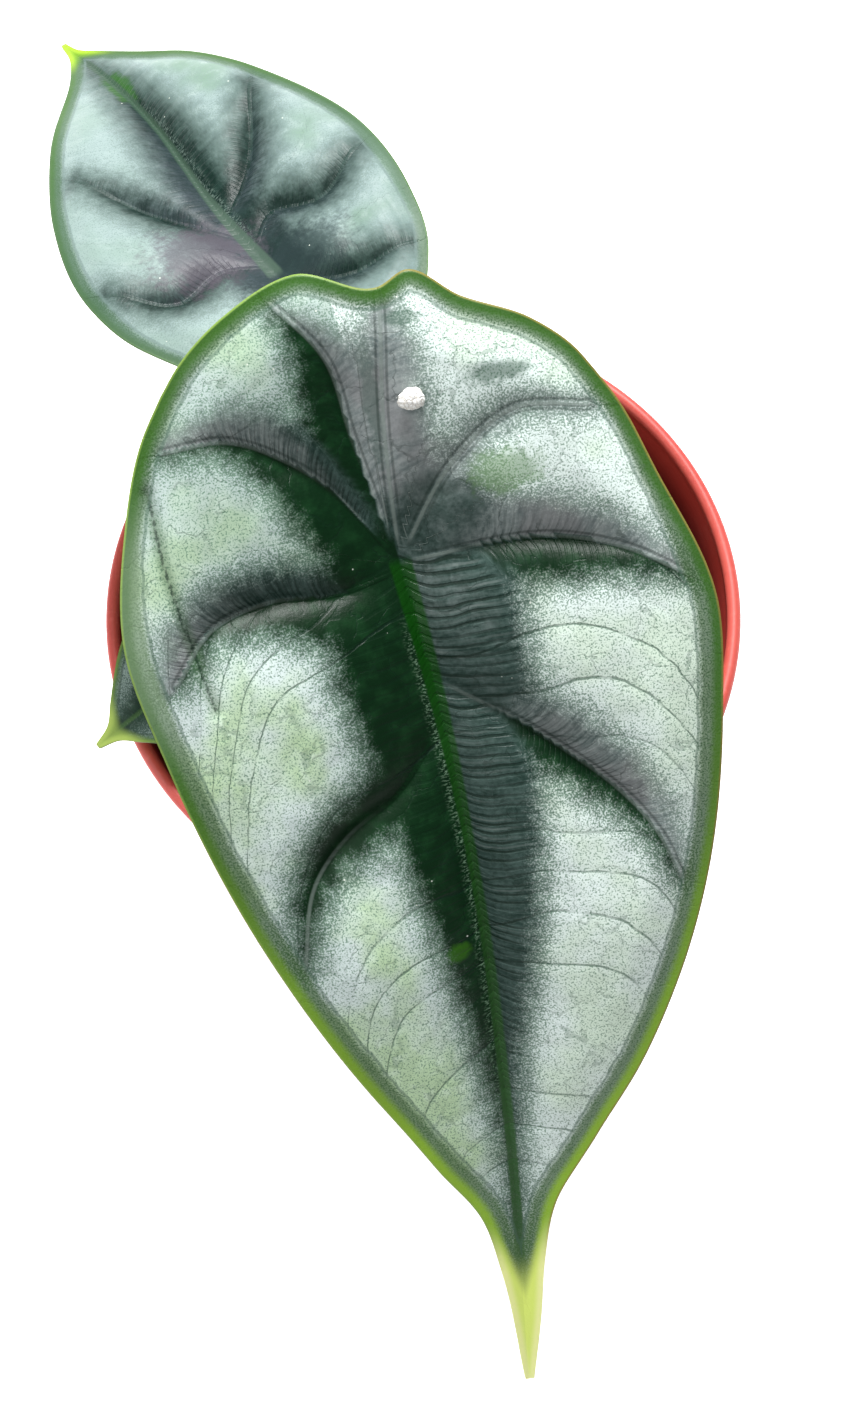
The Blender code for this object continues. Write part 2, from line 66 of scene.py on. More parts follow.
# ---- node helpers ----------------------------------------------------------------------------
class Graph:
    """Short words for building one material's nodes round a single Principled BSDF."""

    def __init__(self, name, roughness=0.5):
        self.material = bpy.data.materials.new(name)
        self.material.use_nodes = True
        self.tree = self.material.node_tree
        self.shader = self.tree.nodes["Principled BSDF"]
        self.shader.inputs["Roughness"].default_value = roughness

    def put(self, socket, value):
        if isinstance(value, bpy.types.NodeSocket):
            self.tree.links.new(value, socket)
        elif isinstance(value, tuple) and len(value) == 3 and len(socket.default_value) == 4:
            socket.default_value = (*value, 1.0)
        else:
            socket.default_value = value

    def node(self, kind, **settings):
        made = self.tree.nodes.new(kind)
        for key, value in settings.items():
            setattr(made, key, value)
        return made

    def math(self, operation, a, b=0.0, c=0.0):
        made = self.node("ShaderNodeMath", operation=operation)
        for socket, value in zip(made.inputs, (a, b, c)):
            self.put(socket, value)
        return made.outputs[0]

    def add(self, a, b):
        return self.math("ADD", a, b)

    def sub(self, a, b):
        return self.math("SUBTRACT", a, b)

    def mul(self, a, b):
        return self.math("MULTIPLY", a, b)

    def sway(self, value, texture, reach):
        """The value moved up and down by a texture that runs from 0 to 1."""
        return self.add(value, self.mul(self.sub(texture, 0.5), reach))

    def step(self, value, low, high):
        """Smooth 0 to 1 as value goes from low to high, or 1 to 0 if low is above high."""
        made = self.node("ShaderNodeMapRange", interpolation_type="SMOOTHSTEP")
        flip = low > high
        self.put(made.inputs["Value"], value)
        made.inputs["From Min"].default_value = min(low, high)
        made.inputs["From Max"].default_value = max(low, high)
        made.inputs["To Min"].default_value = 1.0 if flip else 0.0
        made.inputs["To Max"].default_value = 0.0 if flip else 1.0
        return made.outputs[0]

    def mix(self, share, a, b, how="MIX"):
        made = self.node("ShaderNodeMix", data_type="RGBA", blend_type=how)
        self.put(made.inputs[0], share)
        self.put(made.inputs[6], a)
        self.put(made.inputs[7], b)
        return made.outputs[2]

    def vector(self, x, y, z=0.0):
        made = self.node("ShaderNodeCombineXYZ")
        for socket, value in zip(made.inputs, (x, y, z)):
            self.put(socket, value)
        return made.outputs[0]

    def attribute(self, name):
        """The three numbers of a vector attribute, and the vector itself."""
        made = self.node("ShaderNodeAttribute", attribute_name=name)
        split = self.node("ShaderNodeSeparateXYZ")
        self.tree.links.new(made.outputs["Vector"], split.inputs[0])
        return (*split.outputs, made.outputs["Vector"])

    def noise(self, where, scale, detail=2.0, rough=0.5, warp=0.0):
        made = self.node("ShaderNodeTexNoise")
        self.put(made.inputs["Vector"], where)
        made.inputs["Scale"].default_value = scale
        made.inputs["Detail"].default_value = detail
        made.inputs["Roughness"].default_value = rough
        made.inputs["Distortion"].default_value = warp
        return made.outputs[0]

    def cells(self, where, scale, feature="DISTANCE_TO_EDGE"):
        made = self.node("ShaderNodeTexVoronoi", feature=feature)
        self.put(made.inputs["Vector"], where)
        made.inputs["Scale"].default_value = scale
        return made.outputs["Distance"]

    def object_place(self):
        return self.node("ShaderNodeTexCoord").outputs["Object"]

    def bump(self, height, distance, strength=1.0, before=None):
        made = self.node("ShaderNodeBump")
        made.inputs["Distance"].default_value = distance
        made.inputs["Strength"].default_value = strength
        self.put(made.inputs["Height"], height)
        if before is not None:
            self.put(made.inputs["Normal"], before)
        return made.outputs[0]

    def finish(self, colour, roughness=None, normal=None):
        self.put(self.shader.inputs["Base Color"], colour)
        if roughness is not None:
            self.put(self.shader.inputs["Roughness"], roughness)
        if normal is not None:
            self.put(self.shader.inputs["Normal"], normal)
        return self.material


# ---- mesh helpers ----------------------------------------------------------------------------
def linked(name, data):
    made = bpy.data.objects.new(name, data)
    bpy.context.scene.collection.objects.link(made)
    return made


def show(name, data, paint, slot, *stands_for):
    """A finished piece: painted, riding on the one body, in place of its CAD nodes."""
    data.materials.clear()
    data.materials.append(paint)
    made = linked(name, data)
    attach(made, "root")
    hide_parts(*stands_for)
    return made


def mesh_from(name, points, quads):
    data = bpy.data.meshes.new(name)
    data.from_pydata([tuple(p) for p in points], [], [tuple(q) for q in quads])
    data.validate()
    data.update()
    data.shade_smooth()
    return data


def grid_quads(across, along, start=0, flip=False, wrap=False):
    """Quads of a grid of points laid row by row."""
    rows = np.arange(along - 1)[:, None]
    columns = np.arange(across if wrap else across - 1)[None, :]
    after = (columns + 1) % across
    a = rows * across + columns
    b = rows * across + after
    c = (rows + 1) * across + after
    d = (rows + 1) * across + columns
    order = (a, d, c, b) if flip else (a, b, c, d)
    return np.stack([k.ravel() for k in order], 1) + start


def vector_attribute(data, name, values):
    layer = data.attributes.new(name, "FLOAT_VECTOR", "POINT")
    layer.data.foreach_set("vector", np.asarray(values, np.float32).ravel())


def smooth(value, low, high):
    t = np.clip((value - low) / (high - low), 0.0, 1.0)
    return t * t * (3 - 2 * t)


def soft_noise(x, y, size, seed=0.0):
    """Smooth noise over a plane, one value per point."""
    made = np.empty(len(x))
    for i in range(len(x)):
        made[i] = noise.noise((x[i] / size, y[i] / size, seed))
    return made


# ---- leaf blades -----------------------------------------------------------------------------
EDGE_STEPS = 4000


def through(points, per_span=14):
    """A dense smooth line through the given points, with its arc length as fractions."""
    p = np.array(points, float)
    knots = np.concatenate([[0.0], np.cumsum(np.linalg.norm(np.diff(p, axis=0), axis=1))])
    slope = np.gradient(p, knots, axis=0)
    line = []
    for i in range(len(p) - 1):
        span = knots[i + 1] - knots[i]
        t = np.linspace(0.0, 1.0, per_span, endpoint=False)[:, None]
        a = 2 * t ** 3 - 3 * t ** 2 + 1
        b = t ** 3 - 2 * t ** 2 + t
        c = -2 * t ** 3 + 3 * t ** 2
        d = t ** 3 - t ** 2
        line.append(a * p[i] + b * span * slope[i] + c * p[i + 1] + d * span * slope[i + 1])
    line = np.concatenate(line + [p[-1:]])
    run = np.concatenate([[0.0], np.cumsum(np.linalg.norm(np.diff(line, axis=0), axis=1))])
    return line, run / run[-1]


def at(curve, t):
    line, run = curve
    return np.stack([np.interp(t, run, line[:, 0]), np.interp(t, run, line[:, 1])], -1)


def to_line(x, y, line):
    """Distance to a drawn line in mm, positive on its left hand, and how far along it, in mm."""
    best = np.full(len(x), 1e9)
    side = np.ones(len(x))
    along = np.zeros(len(x))
    run = 0.0
    for (ax, ay), (bx, by) in zip(line[:-1], line[1:]):
        dx, dy = bx - ax, by - ay
        length = math.hypot(dx, dy)
        t = np.clip(((x - ax) * dx + (y - ay) * dy) / length ** 2, 0.0, 1.0)
        gap = np.hypot(x - ax - t * dx, y - ay - t * dy)
        near = gap < best
        best = np.where(near, gap, best)
        cross = dx * (y - ay) - dy * (x - ax)
        side = np.where(near, np.where(cross >= 0, 1.0, -1.0), side)
        along = np.where(near, run + t * length, along)
        run += length
    return best * side, along, run


class Vein:
    """A main vein, drawn from the stalk junction outward.

    left and right are the widths in mm of the unsilvered skin on either hand, as (share of the
    vein's length, width) pairs. The tones pairs give how much painted sheen each hand gets at the
    start and end of the vein, 0 deep green with no sheen to 1 pale grey painted sheen. depth is how
    far the vein sinks and reach how wide the sink is; rib is the gap between its ribs."""

    def __init__(self, points, left, right, sheen_tones, depth=1.0, reach=3.0, rib=1.4, ribs=(0.5, 0.5)):
        self.line = through(points, 8)[0]
        self.left = np.array(left, float)
        self.right = np.array(right, float)
        self.sheen_tones = sheen_tones
        self.depth = depth
        self.reach = reach
        self.rib = rib
        self.ribs = ribs

    def width(self, share, side):
        left = np.interp(share, self.left[:, 0], self.left[:, 1])
        right = np.interp(share, self.right[:, 0], self.right[:, 1])
        return np.where(side > 0, left, right)


class Blade:
    """A leaf blade in its own flat drawing: x across, -y toward the drip tip, mm, the stalk
    junction at the origin. place() hangs the drawing in the frame along an arched spine."""

    def __init__(self, spec):
        self.spec = spec
        self.top = through(spec["top"])
        self.left = through(spec["left"])
        self.right = through(spec["right"])
        a, i = math.radians(spec["azimuth"]), math.radians(spec["incline"])
        flat = np.array([math.cos(a), math.sin(a), 0.0])
        up = np.array([0.0, 0.0, 1.0])
        self.T = flat * math.cos(i) - up * math.sin(i)
        self.N = flat * math.sin(i) + up * math.cos(i)
        self.S = np.cross(self.N, self.T)
        self.J = np.array(spec["junction"], float)
        self.outline = np.concatenate([self.top[0], self.right[0][1:], self.left[0][::-1][:-1]])

    def flat_points(self, u, v):
        head, left, right = at(self.top, u), at(self.left, v), at(self.right, v)
        u, v = u[:, None], v[:, None]
        a, b = self.left[0][0], self.right[0][0]
        c, d = self.left[0][-1], self.right[0][-1]
        foot = c * (1 - u) + d * u
        corners = (1 - v) * ((1 - u) * a + u * b) + v * ((1 - u) * c + u * d)
        return (1 - v) * head + v * foot + (1 - u) * left + u * right - corners

    def edge_distance(self, x, y):
        tree = kdtree.KDTree(EDGE_STEPS)
        closed = np.concatenate([self.outline, self.outline[:1]])
        run = np.concatenate([[0.0], np.cumsum(np.linalg.norm(np.diff(closed, axis=0), axis=1))])
        t = np.linspace(0.0, run[-1], EDGE_STEPS)
        around = zip(np.interp(t, run, closed[:, 0]), np.interp(t, run, closed[:, 1]))
        for k, (edge_x, edge_y) in enumerate(around):
            tree.insert((edge_x, edge_y, 0.0), k)
        tree.balance()
        return np.array([tree.find((a, b, 0.0))[2] for a, b in zip(x, y)])

    def hollow(self, x, y):
        """1 on the crowns between the veins, 0 where they all meet."""
        made = np.ones(len(x))
        for vein in self.spec["veins"]:
            d, along, run = to_line(x, y, vein.line)
            share = along / run
            fade = vein.depth * (1 - 0.85 * smooth(share, 0.55, 1.0))
            made *= 1 - fade * np.exp(-np.abs(d) / vein.reach)
        return made

    def place(self, x, y, h):
        x, y, h = x * 0.001, y * 0.001, h * 0.001
        front = y < 0
        bend = np.radians(np.where(front, self.spec["bend"], self.spec["bend_back"])) * 1000
        turn = bend * np.abs(y)
        way = np.where(front, 1.0, -1.0)
        out = (np.sin(turn) / bend * way)[:, None]
        down = ((1 - np.cos(turn)) / bend)[:, None]
        normal = self.N * np.cos(turn)[:, None] + self.T * (way * np.sin(turn))[:, None]
        return self.J + self.T * out - self.N * down + self.S * x[:, None] + normal * h[:, None]

    def fields(self, x, y):
        """How far outside the bare bands, how much painted sheen, the ribs' phase and strength, and
        the distance to the nearest side vein and the share along it, for each point."""
        gaps, sheen_tones, phases, ribs = [], [], [], []
        side_vein, side_share = np.full(len(x), 99.0), np.zeros(len(x))
        for k, vein in enumerate(self.spec["veins"]):
            d, along, run = to_line(x, y, vein.line)
            share = along / run
            gaps.append(np.abs(d) - vein.width(share, d))
            # How much painted sheen each hand of this vein gets, from its start to its end.
            (a, b), (c, e) = vein.sheen_tones
            sheen_tones.append(np.where(d > 0, a + (b - a) * share, c + (e - c) * share))
            drop = self.spec["rib_drop"] * (1 - np.exp(-np.abs(d) / 1.2)) + 0.05 * np.abs(d)
            phases.append((along - drop) / (vein.rib * (1 - 0.3 * share)))
            ribs.append(np.where(d > 0, vein.ribs[0], vein.ribs[1]))
            if k > 0:
                near = np.abs(d) < np.abs(side_vein)
                side_vein = np.where(near, d, side_vein)
                side_share = np.where(near, share, side_share)
        gaps = np.array(gaps)
        weight = np.exp(-(gaps - gaps.min(0)) / 1.3)
        weight /= weight.sum(0)
        outside = -0.8 * np.log(np.exp(-gaps / 0.8).sum(0))
        first = gaps.argmin(0)
        rows = np.arange(len(x))
        alone = smooth(weight.max(0), 0.55, 0.85)
        tone = (weight * np.array(sheen_tones)).sum(0)
        rib_phase, rib_share = np.array(phases)[first, rows], np.array(ribs)[first, rows] * alone
        return outside, tone, rib_phase, rib_share, side_vein, side_share

    def nerve_phase(self, mid, along, edge):
        """Grows by one from each fine side nerve to the next: they leave the midrib square, then
        sweep toward the tip and run up against the margin."""
        half = np.abs(mid) + edge
        q = np.abs(mid) / np.maximum(half, 0.1)
        right = half * (0.05 * q + 0.50 * q ** 5)
        left = half * (0.17 * q + 1.10 * q ** 4)
        return (along - np.where(mid > 0, right, left)) / self.spec["nerve_gap"]


def quilt(leaf, x, y, edge, half, mid):
    """Height over the spine in mm: crowned panels between sunk veins, margins drawn down, and
    both halves rising from the midrib."""
    spec = leaf.spec
    rim = smooth(edge, 0.0, spec["margin"])
    size = np.minimum(1.0, half / spec["full_half"])
    rise = spec["fold"] * np.abs(mid) * (1 - 0.30 * np.abs(mid) / spec["full_half"])
    return rise + spec["bulge"] * size * leaf.hollow(x, y) * (0.45 + 0.55 * rim)


def build_blade(name, leaf, across, along, paint, slot):
    """Both faces of a blade as one closed mesh with its drawing coordinates and vein fields."""
    spec = leaf.spec
    u = np.tile(np.linspace(0, 1, across), along)
    v = np.repeat(np.linspace(0, 1, along), across)
    flat = leaf.flat_points(u, v)
    x, y = flat[:, 0], flat[:, 1]
    edge = leaf.edge_distance(x, y)
    half = 0.5 * np.linalg.norm(at(leaf.right, v) - at(leaf.left, v), axis=1)
    outside, tone, phase, ribs, side_vein, side_share = leaf.fields(x, y)
    mid, mid_along, _ = to_line(x, y, spec["veins"][0].line)
    phase = phase + 0.62 * soft_noise(x, y, 7.0, 2.0) + 0.14 * soft_noise(x, y, 2.2, 6.0)
    nerve = leaf.nerve_phase(mid, mid_along, edge) + 0.50 * soft_noise(x, y, 13.0, 7.0)
    shown = RNG.uniform(size=80)[(np.round(nerve).astype(int) * 2 + (mid > 0)) % 80]
    crease = np.full(len(x), 99.0)
    for line in spec["creases"]:
        crease = np.minimum(crease, np.abs(to_line(x, y, through(line, 8)[0])[0]))
    taper = smooth(edge, 0.0, 4.0)
    h = quilt(leaf, x, y, edge, half, mid)
    bare = smooth(outside, 1.0, -1.5)
    near = smooth(np.minimum(np.abs(mid), np.abs(side_vein)), 0.3, 1.2)
    h = h + spec["rib_height"] * np.cos(math.tau * phase) * ribs * bare * near * taper
    pucker = 0.35 * soft_noise(x, y, 9.0, 5.0) + 0.10 * soft_noise(x, y, 3.2, 9.0)
    h = h + pucker * taper * (1 - 0.6 * bare)
    from_nerve = np.abs((nerve + 0.5) % 1.0 - 0.5) * spec["nerve_gap"]
    h = h - spec["nerve_depth"] * np.exp(-(from_nerve / 0.5) ** 2) * taper
    h = h - 0.55 * np.exp(-(crease / 0.9) ** 2)
    wave = np.sin(along_edge(leaf, x, y) * spec["wave_count"]) * spec["wave"] * smooth(edge, 9.0, 0.0)
    h = h + wave * smooth(half, 2.0, 12.0)
    top = leaf.place(x, y, h)
    thick = 0.28 + 0.25 * smooth(edge, 0.0, 3.0)
    stout = np.interp(mid_along, [0, 0.5 * spec["long"], spec["long"]], [1.3, 0.8, 0.25])
    thick = thick + stout * np.exp(-(mid / 0.9) ** 2)
    thick = thick + 0.45 * np.exp(-(side_vein / 0.7) ** 2) * smooth(edge, 0.5, 5.0)
    normals = grid_normals(top.reshape(along, across, 3)).reshape(-1, 3)
    if np.mean(normals @ leaf.N) < 0:
        normals = -normals
    under = top - normals * (thick * 0.001)[:, None]
    count = across * along
    faces_up = np.cross(top[1] - top[0], top[across] - top[0]) @ leaf.N > 0
    quads = [grid_quads(across, along, 0, flip=not faces_up),
             grid_quads(across, along, count, flip=faces_up)]
    ring = rim_ring(across, along)
    after = np.roll(ring, -1)
    wall = np.stack([ring, after, after + count, ring + count], 1)
    quads.append(wall if not faces_up else wall[:, ::-1])
    data = mesh_from(name, np.concatenate([top, under]), np.concatenate(quads))
    upper = np.concatenate([np.ones(count), np.zeros(count)])
    stacks = {"drawing": (x, y, edge), "bands": (outside, tone, side_vein),
              "ribs": (phase, ribs, nerve), "marks": (mid, shown, crease)}
    for key, parts in stacks.items():
        one_face = np.stack(parts, 1)
        vector_attribute(data, key, np.concatenate([one_face, one_face]))
    vector_attribute(data, "faces", np.stack([upper, np.tile(side_share, 2), upper], 1))
    lay_flat(data, np.tile(x, 2), np.tile(y, 2), upper)
    return show(name, data, paint, slot, name.replace("fine_", ""))


def along_edge(leaf, x, y):
    """A slow angle round the blade, for the waves of its margin."""
    centre = np.array([0.0, -0.25 * leaf.spec["long"]])
    across = (x - centre[0]) / leaf.spec["full_half"]
    return np.arctan2((y - centre[1]) / leaf.spec["long"] * 1.6, across)


def rim_ring(across, along):
    """The grid's border points, in order round it."""
    first = np.arange(across)
    right = np.arange(1, along) * across + across - 1
    last = (along - 1) * across + np.arange(across - 2, -1, -1)
    left = np.arange(along - 2, 0, -1) * across
    return np.concatenate([first, right, last, left])


def grid_normals(points):
    du = np.gradient(points, axis=1)
    dv = np.gradient(points, axis=0)
    made = np.cross(du, dv)
    return made / np.maximum(np.linalg.norm(made, axis=2, keepdims=True), 1e-12)


def lay_flat(data, x, y, side):
    """The drawing itself as the texture layout: the upper face in one half, the under in the other."""
    layer = data.uv_layers.new(name="OFBake")
    wide = x.max() - x.min()
    tall = y.max() - y.min()
    u = 0.01 + 0.48 * (x - x.min()) / wide + np.where(side > 0.5, 0.0, 0.5)
    v = 0.01 + 0.98 * (y - y.min()) / tall
    corner = np.empty(len(data.loops), np.int32)
    data.loops.foreach_get("vertex_index", corner)
    layer.data.foreach_set("uv", np.stack([u[corner], v[corner]], 1).astype(np.float32).ravel())


# Each vein's tones pair is the painted sheen on its two hands.
MAIN_VEINS = [
    Vein([(0, 0), (2, -20), (3, -45), (2.5, -72), (0, -117)],
         [(0, 14), (0.2, 11), (0.4, 7), (0.55, 3), (0.7, 1), (1, 0)],
         [(0, 10), (0.1, 12), (0.3, 9), (0.5, 4.5), (0.7, 1), (1, 0)],
         ((0.66, 0.30), (0, 0)), depth=1.0, reach=4.6, rib=1.4, ribs=(0.8, 0.2)),
    Vein([(0, 0), (20, 0), (27, -2.5), (34, -7)],
         [(0, 7), (0.35, 5.5), (0.6, 4), (0.8, 2.5), (1, 1.0)],
         [(0, 3.5), (0.35, 6), (0.6, 5.5), (0.8, 3.5), (1, 1)],
         ((0.85, 1.0), (0.25, 0.0)), depth=0.85, reach=3.0, rib=1.3, ribs=(0.3, 0.3)),
    Vein([(2, -15), (14, -24), (26, -38), (28, -44)],
         [(0, 3), (0.2, 4), (0.4, 5), (0.62, 4.4), (0.85, 2.0), (1, 0.6)],
         [(0, 3), (0.15, 4.5), (0.4, 4.2), (0.62, 3.2), (0.85, 1.9), (1, 1.0)],
         ((0.70, 1.0), (0.15, 0.0)), depth=0.9, reach=3.2, rib=1.0, ribs=(0.5, 0.25)),
    Vein([(0.5, 1), (8, 11), (16, 16), (25, 15)],
         [(0, 3), (0.4, 1.5), (1, 0.5)], [(0, 4), (0.4, 2), (1, 0.5)],
         ((0.95, 0.8), (0.90, 0.8)), depth=0.45, reach=2.4, rib=1.2, ribs=(0.1, 0.5)),
    Vein([(-0.5, 1), (-3.5, 16), (-5, 25), (-10.5, 32.5)],
         [(0, 3), (0.25, 5.5), (0.5, 6), (0.7, 5), (0.85, 3), (1, 0.8)],
         [(0, 5), (0.25, 7), (0.5, 7), (0.7, 4), (0.85, 1.2), (1, 0.4)],
         ((0, 0), (0.9, 1.0)), depth=1.0, reach=3.6, rib=1.4, ribs=(0.1, 0.1)),
    Vein([(0, 0), (-10, 13), (-18, 17.5), (-26, 17.5)],
         [(0, 5), (0.25, 7), (0.4, 6.5), (0.58, 4.2), (0.8, 2.2), (1, 0.8)],
         [(0, 4), (0.25, 5.5), (0.5, 5), (0.75, 3.6), (1, 0.8)],
         ((0, 0), (0.6, 0.95)), depth=1.0, reach=3.2, rib=0.85, ribs=(0.0, 0.55)),
    Vein([(0, -1), (-8, -2.5), (-17, -2), (-24, -4), (-29, -9.5)],
         [(0, 8), (0.3, 6.5), (0.55, 4), (0.8, 2), (1, 0.8)],
         [(0, 3), (0.3, 4), (0.55, 4.5), (0.8, 4), (1, 2.5)],
         ((0, 0.1), (0.2, 0.95)), depth=0.9, reach=3.0, rib=0.85, ribs=(0.0, 0.55)),
    Vein([(1.5, -21), (-5, -28), (-12, -32), (-17, -37), (-20, -47)],
         [(0, 4), (0.25, 4.5), (0.5, 3.6), (0.75, 2.4), (0.9, 1.4), (1, 0.8)],
         [(0, 5), (0.25, 5.5), (0.5, 4), (0.75, 2.6), (0.9, 1.4), (1, 0.8)],
         ((0.1, 0.05), (0.05, 0.05)), depth=0.9, reach=3.6, rib=1.6, ribs=(0.0, 0.0)),
    Vein([(0, 0.5), (0.5, 16), (2.5, 32)],
         [(0, 4), (0.4, 5), (0.7, 3), (1, 0.6)], [(0, 4), (0.4, 6), (0.7, 4.5), (1, 1.2)],
         ((0.95, 1.0), (1.0, 1.0)), depth=0.5, reach=2.0, rib=1.6, ribs=(0.0, 0.0)),
]

MAIN = Blade({
    "long": 117.2, "full_half": 24.6, "nerve_gap": 5.8, "rib_drop": 1.4,
    "junction": (-0.0027, -0.0264, POT_HEIGHT + 0.0770),
    "azimuth": -79.4, "incline": 27.6, "bend": 0.15, "bend_back": 0.10,
    "bulge": 4.0, "fold": 0.16, "margin": 8.0, "rib_height": 0.06, "nerve_depth": 0.08,
    "wave": 0.35, "wave_count": 9.0,
    "top": [(-25, 24), (-22.5, 27), (-16, 32), (-7, 35.5), (2.5, 32.5), (6, 34), (12, 30), (20, 26),
            (24.5, 22), (26.5, 19)],
    "left": [(-25, 24), (-28, 19.5), (-32, 9), (-34.5, -4), (-32, -19), (-26.5, -39), (-15, -65.5),
             (-8, -79), (-3, -89), (-1.5, -98), (-0.4, -117.2)],
    "right": [(26.5, 19), (28.5, 15.5), (32, 6), (37, -10), (36, -23), (31, -46), (21, -67),
              (13.5, -78.5), (7, -88), (4.5, -97), (3, -106), (0.8, -117.2)],
    "veins": MAIN_VEINS,
    "creases": [[(-28.5, 13), (-28, 4), (-26, -8), (-25, -13)]],
})

BACK_MIDRIB = [(0, 7), (0.3, 5.5), (0.6, 4), (0.8, 2), (1, 0.3)]
BACK_WIDE = [(0, 6), (0.5, 4.2), (1, 1.5)]
BACK_NARROW = [(0, 5), (0.5, 3.6), (1, 1.5)]
BACK_VEINS = [
    Vein([(0, 0), (0.5, -18), (-1, -40), (0, -73)], BACK_MIDRIB, BACK_MIDRIB,
         ((0.55, 0.1), (0.15, 0.1)), depth=1.0, reach=3.4, rib=1.4, ribs=(0.4, 0.4)),
] + [
    Vein(points, left, right, ((0.2, 0.1), (0.4, 0.2)), depth=0.9, reach=2.6, rib=1.1)
    for points, left, right in (
        ([(0, 0), (-6, 6.5), (-18, 9)], BACK_WIDE, [(0, 5), (0.5, 4), (1, 1)]),
        ([(0.5, -9), (7, -18), (15, -33.5)], BACK_NARROW, BACK_NARROW),
        ([(0, -6), (-5, -10), (-12, -7.5), (-21, -11)], BACK_NARROW, BACK_WIDE),
        ([(0, -14), (-4, -17), (-16.5, -35.5)], BACK_NARROW, BACK_NARROW),
        ([(0, -2), (6, -4.5), (14, -2.5), (22, -9)], BACK_WIDE, BACK_WIDE))
]

BACK = Blade({
    "long": 73.7, "full_half": 16.7, "nerve_gap": 5.0, "rib_drop": 0.8,
    "junction": (-0.0209, 0.0289, POT_HEIGHT + 0.0520),
    "azimuth": 122.9, "incline": 12.6, "bend": 0.20, "bend_back": 0.15,
    "bulge": 3.0, "fold": 0.08, "margin": 6.0, "rib_height": 0.05, "nerve_depth": 0.06,
    "wave": 0.25, "wave_count": 7.0,
    "top": [(-17.5, 13.5), (-15.5, 16), (-12.5, 18.5), (-7, 20.5), (0.5, 18), (5, 20), (12, 17.5),
            (16.5, 13), (18.5, 10)],
    "left": [(-17.5, 13.5), (-20, 9.5), (-23, 0), (-24.5, -15), (-20.5, -34), (-13, -51),
             (-3.5, -65.5), (-1, -70), (-0.4, -73.7)],
    "right": [(18.5, 10), (20.5, 6.5), (23.5, 0), (25, -10), (22, -27), (15, -43), (9, -53), (4, -61),
              (1, -69), (0.4, -73.7)],
    "veins": BACK_VEINS,
    "creases": [],
})

LOW_MIDRIB = [(0, 6), (0.6, 5), (1, 0.5)]
LOW_SIDE = [(0, 3), (0.6, 2.4), (1, 1)]
LOW_VEINS = [
    Vein([(0, 0), (0.3, -15), (0, -39)], LOW_MIDRIB, LOW_MIDRIB, ((0.2, 0.2), (0.2, 0.2)),
         depth=1.0, reach=2.4, rib=1.0),
] + [
    Vein([start, (hand * bend[0], bend[1]), (hand * end[0], end[1])], LOW_SIDE, LOW_SIDE,
         ((0.2, 0.2), (0.2, 0.2)), depth=0.8, reach=1.8, rib=0.9)
    for start, bend, end in (((0, 0), (6, 3.5), (11, 3)), ((0.2, -5), (6, -8), (11, -14)),
                             ((0.3, -14), (5, -19), (8, -25)))
    for hand in (-1, 1)
]

LOW = Blade({
    "long": 39.6, "full_half": 10.0, "nerve_gap": 3.6, "rib_drop": 0.5,
    "junction": (-0.0193, -0.0014, POT_HEIGHT + 0.0090),
    "azimuth": -141.9, "incline": 3.5, "bend": 0.15, "bend_back": 0.15,
    "bulge": 1.5, "fold": 0.10, "margin": 4.0, "rib_height": 0.03, "nerve_depth": 0.04,
    "wave": 0.12, "wave_count": 6.0,
    "top": [(-12, 5.5), (-10.5, 8), (-5, 11), (0, 9), (5, 11), (10.5, 8), (12, 5.5)],
    "left": [(-12, 5.5), (-13, 3), (-14.5, -8), (-11, -26), (-4, -34), (-1.5, -36.5), (-0.4, -39.6)],
    "right": [(12, 5.5), (13, 3), (14.5, -8), (11, -26), (4, -34), (1.5, -36.5), (0.4, -39.6)],
    "veins": LOW_VEINS,
    "creases": [],
})


def silver_skin(g, look, outside, mid, y, broad, blotch, grain, speck):
    """Silver that varies in patches, veiled beside the bare bands and flecked with green, with painted
    light right of the midrib and painted shade on the upper-left panel.
    """
    near = g.step(outside, 7.0, 0.5)
    cool = g.step(g.add(g.mul(near, 0.5), g.mul(g.sub(0.5, broad), 3.0)), -0.25, 0.55)
    silver = g.mix(cool, look["silver_green"], look["silver"])
    silver = g.mix(g.mul(g.step(blotch, 0.50, 0.72), 0.40), silver, look["silver_high"])
    density = g.add(speck, g.add(g.mul(g.sub(grain, 0.5), 0.35), g.mul(g.step(outside, 3.5, -0.5), -0.12)))
    veiled = g.sway(outside, blotch, 4.0)
    veiled = g.sway(veiled, speck, 5.0)
    silver = g.mix(g.mul(g.step(veiled, 5.0, -0.5), look["veil_share"]), silver, look["veil"])
    # Painted light and shade: the silver right of the midrib turned toward the side-light colour, lighter on
    # the main blade.
    silver = g.mix(g.mul(g.step(mid, -4.0, 8.0), 0.55), silver, look["silver_side_light"])
    # Painted shade: the upper-left panel darkened toward the veil colour.
    silver = g.mix(g.mul(g.mul(g.step(mid, -3.0, -12.0), g.step(y, -6.0, 10.0)), 0.45), silver, look["veil"])
    silver = g.mix(g.mul(g.step(density, 0.48, 0.38), 0.80), silver, look["speck"])
    return silver


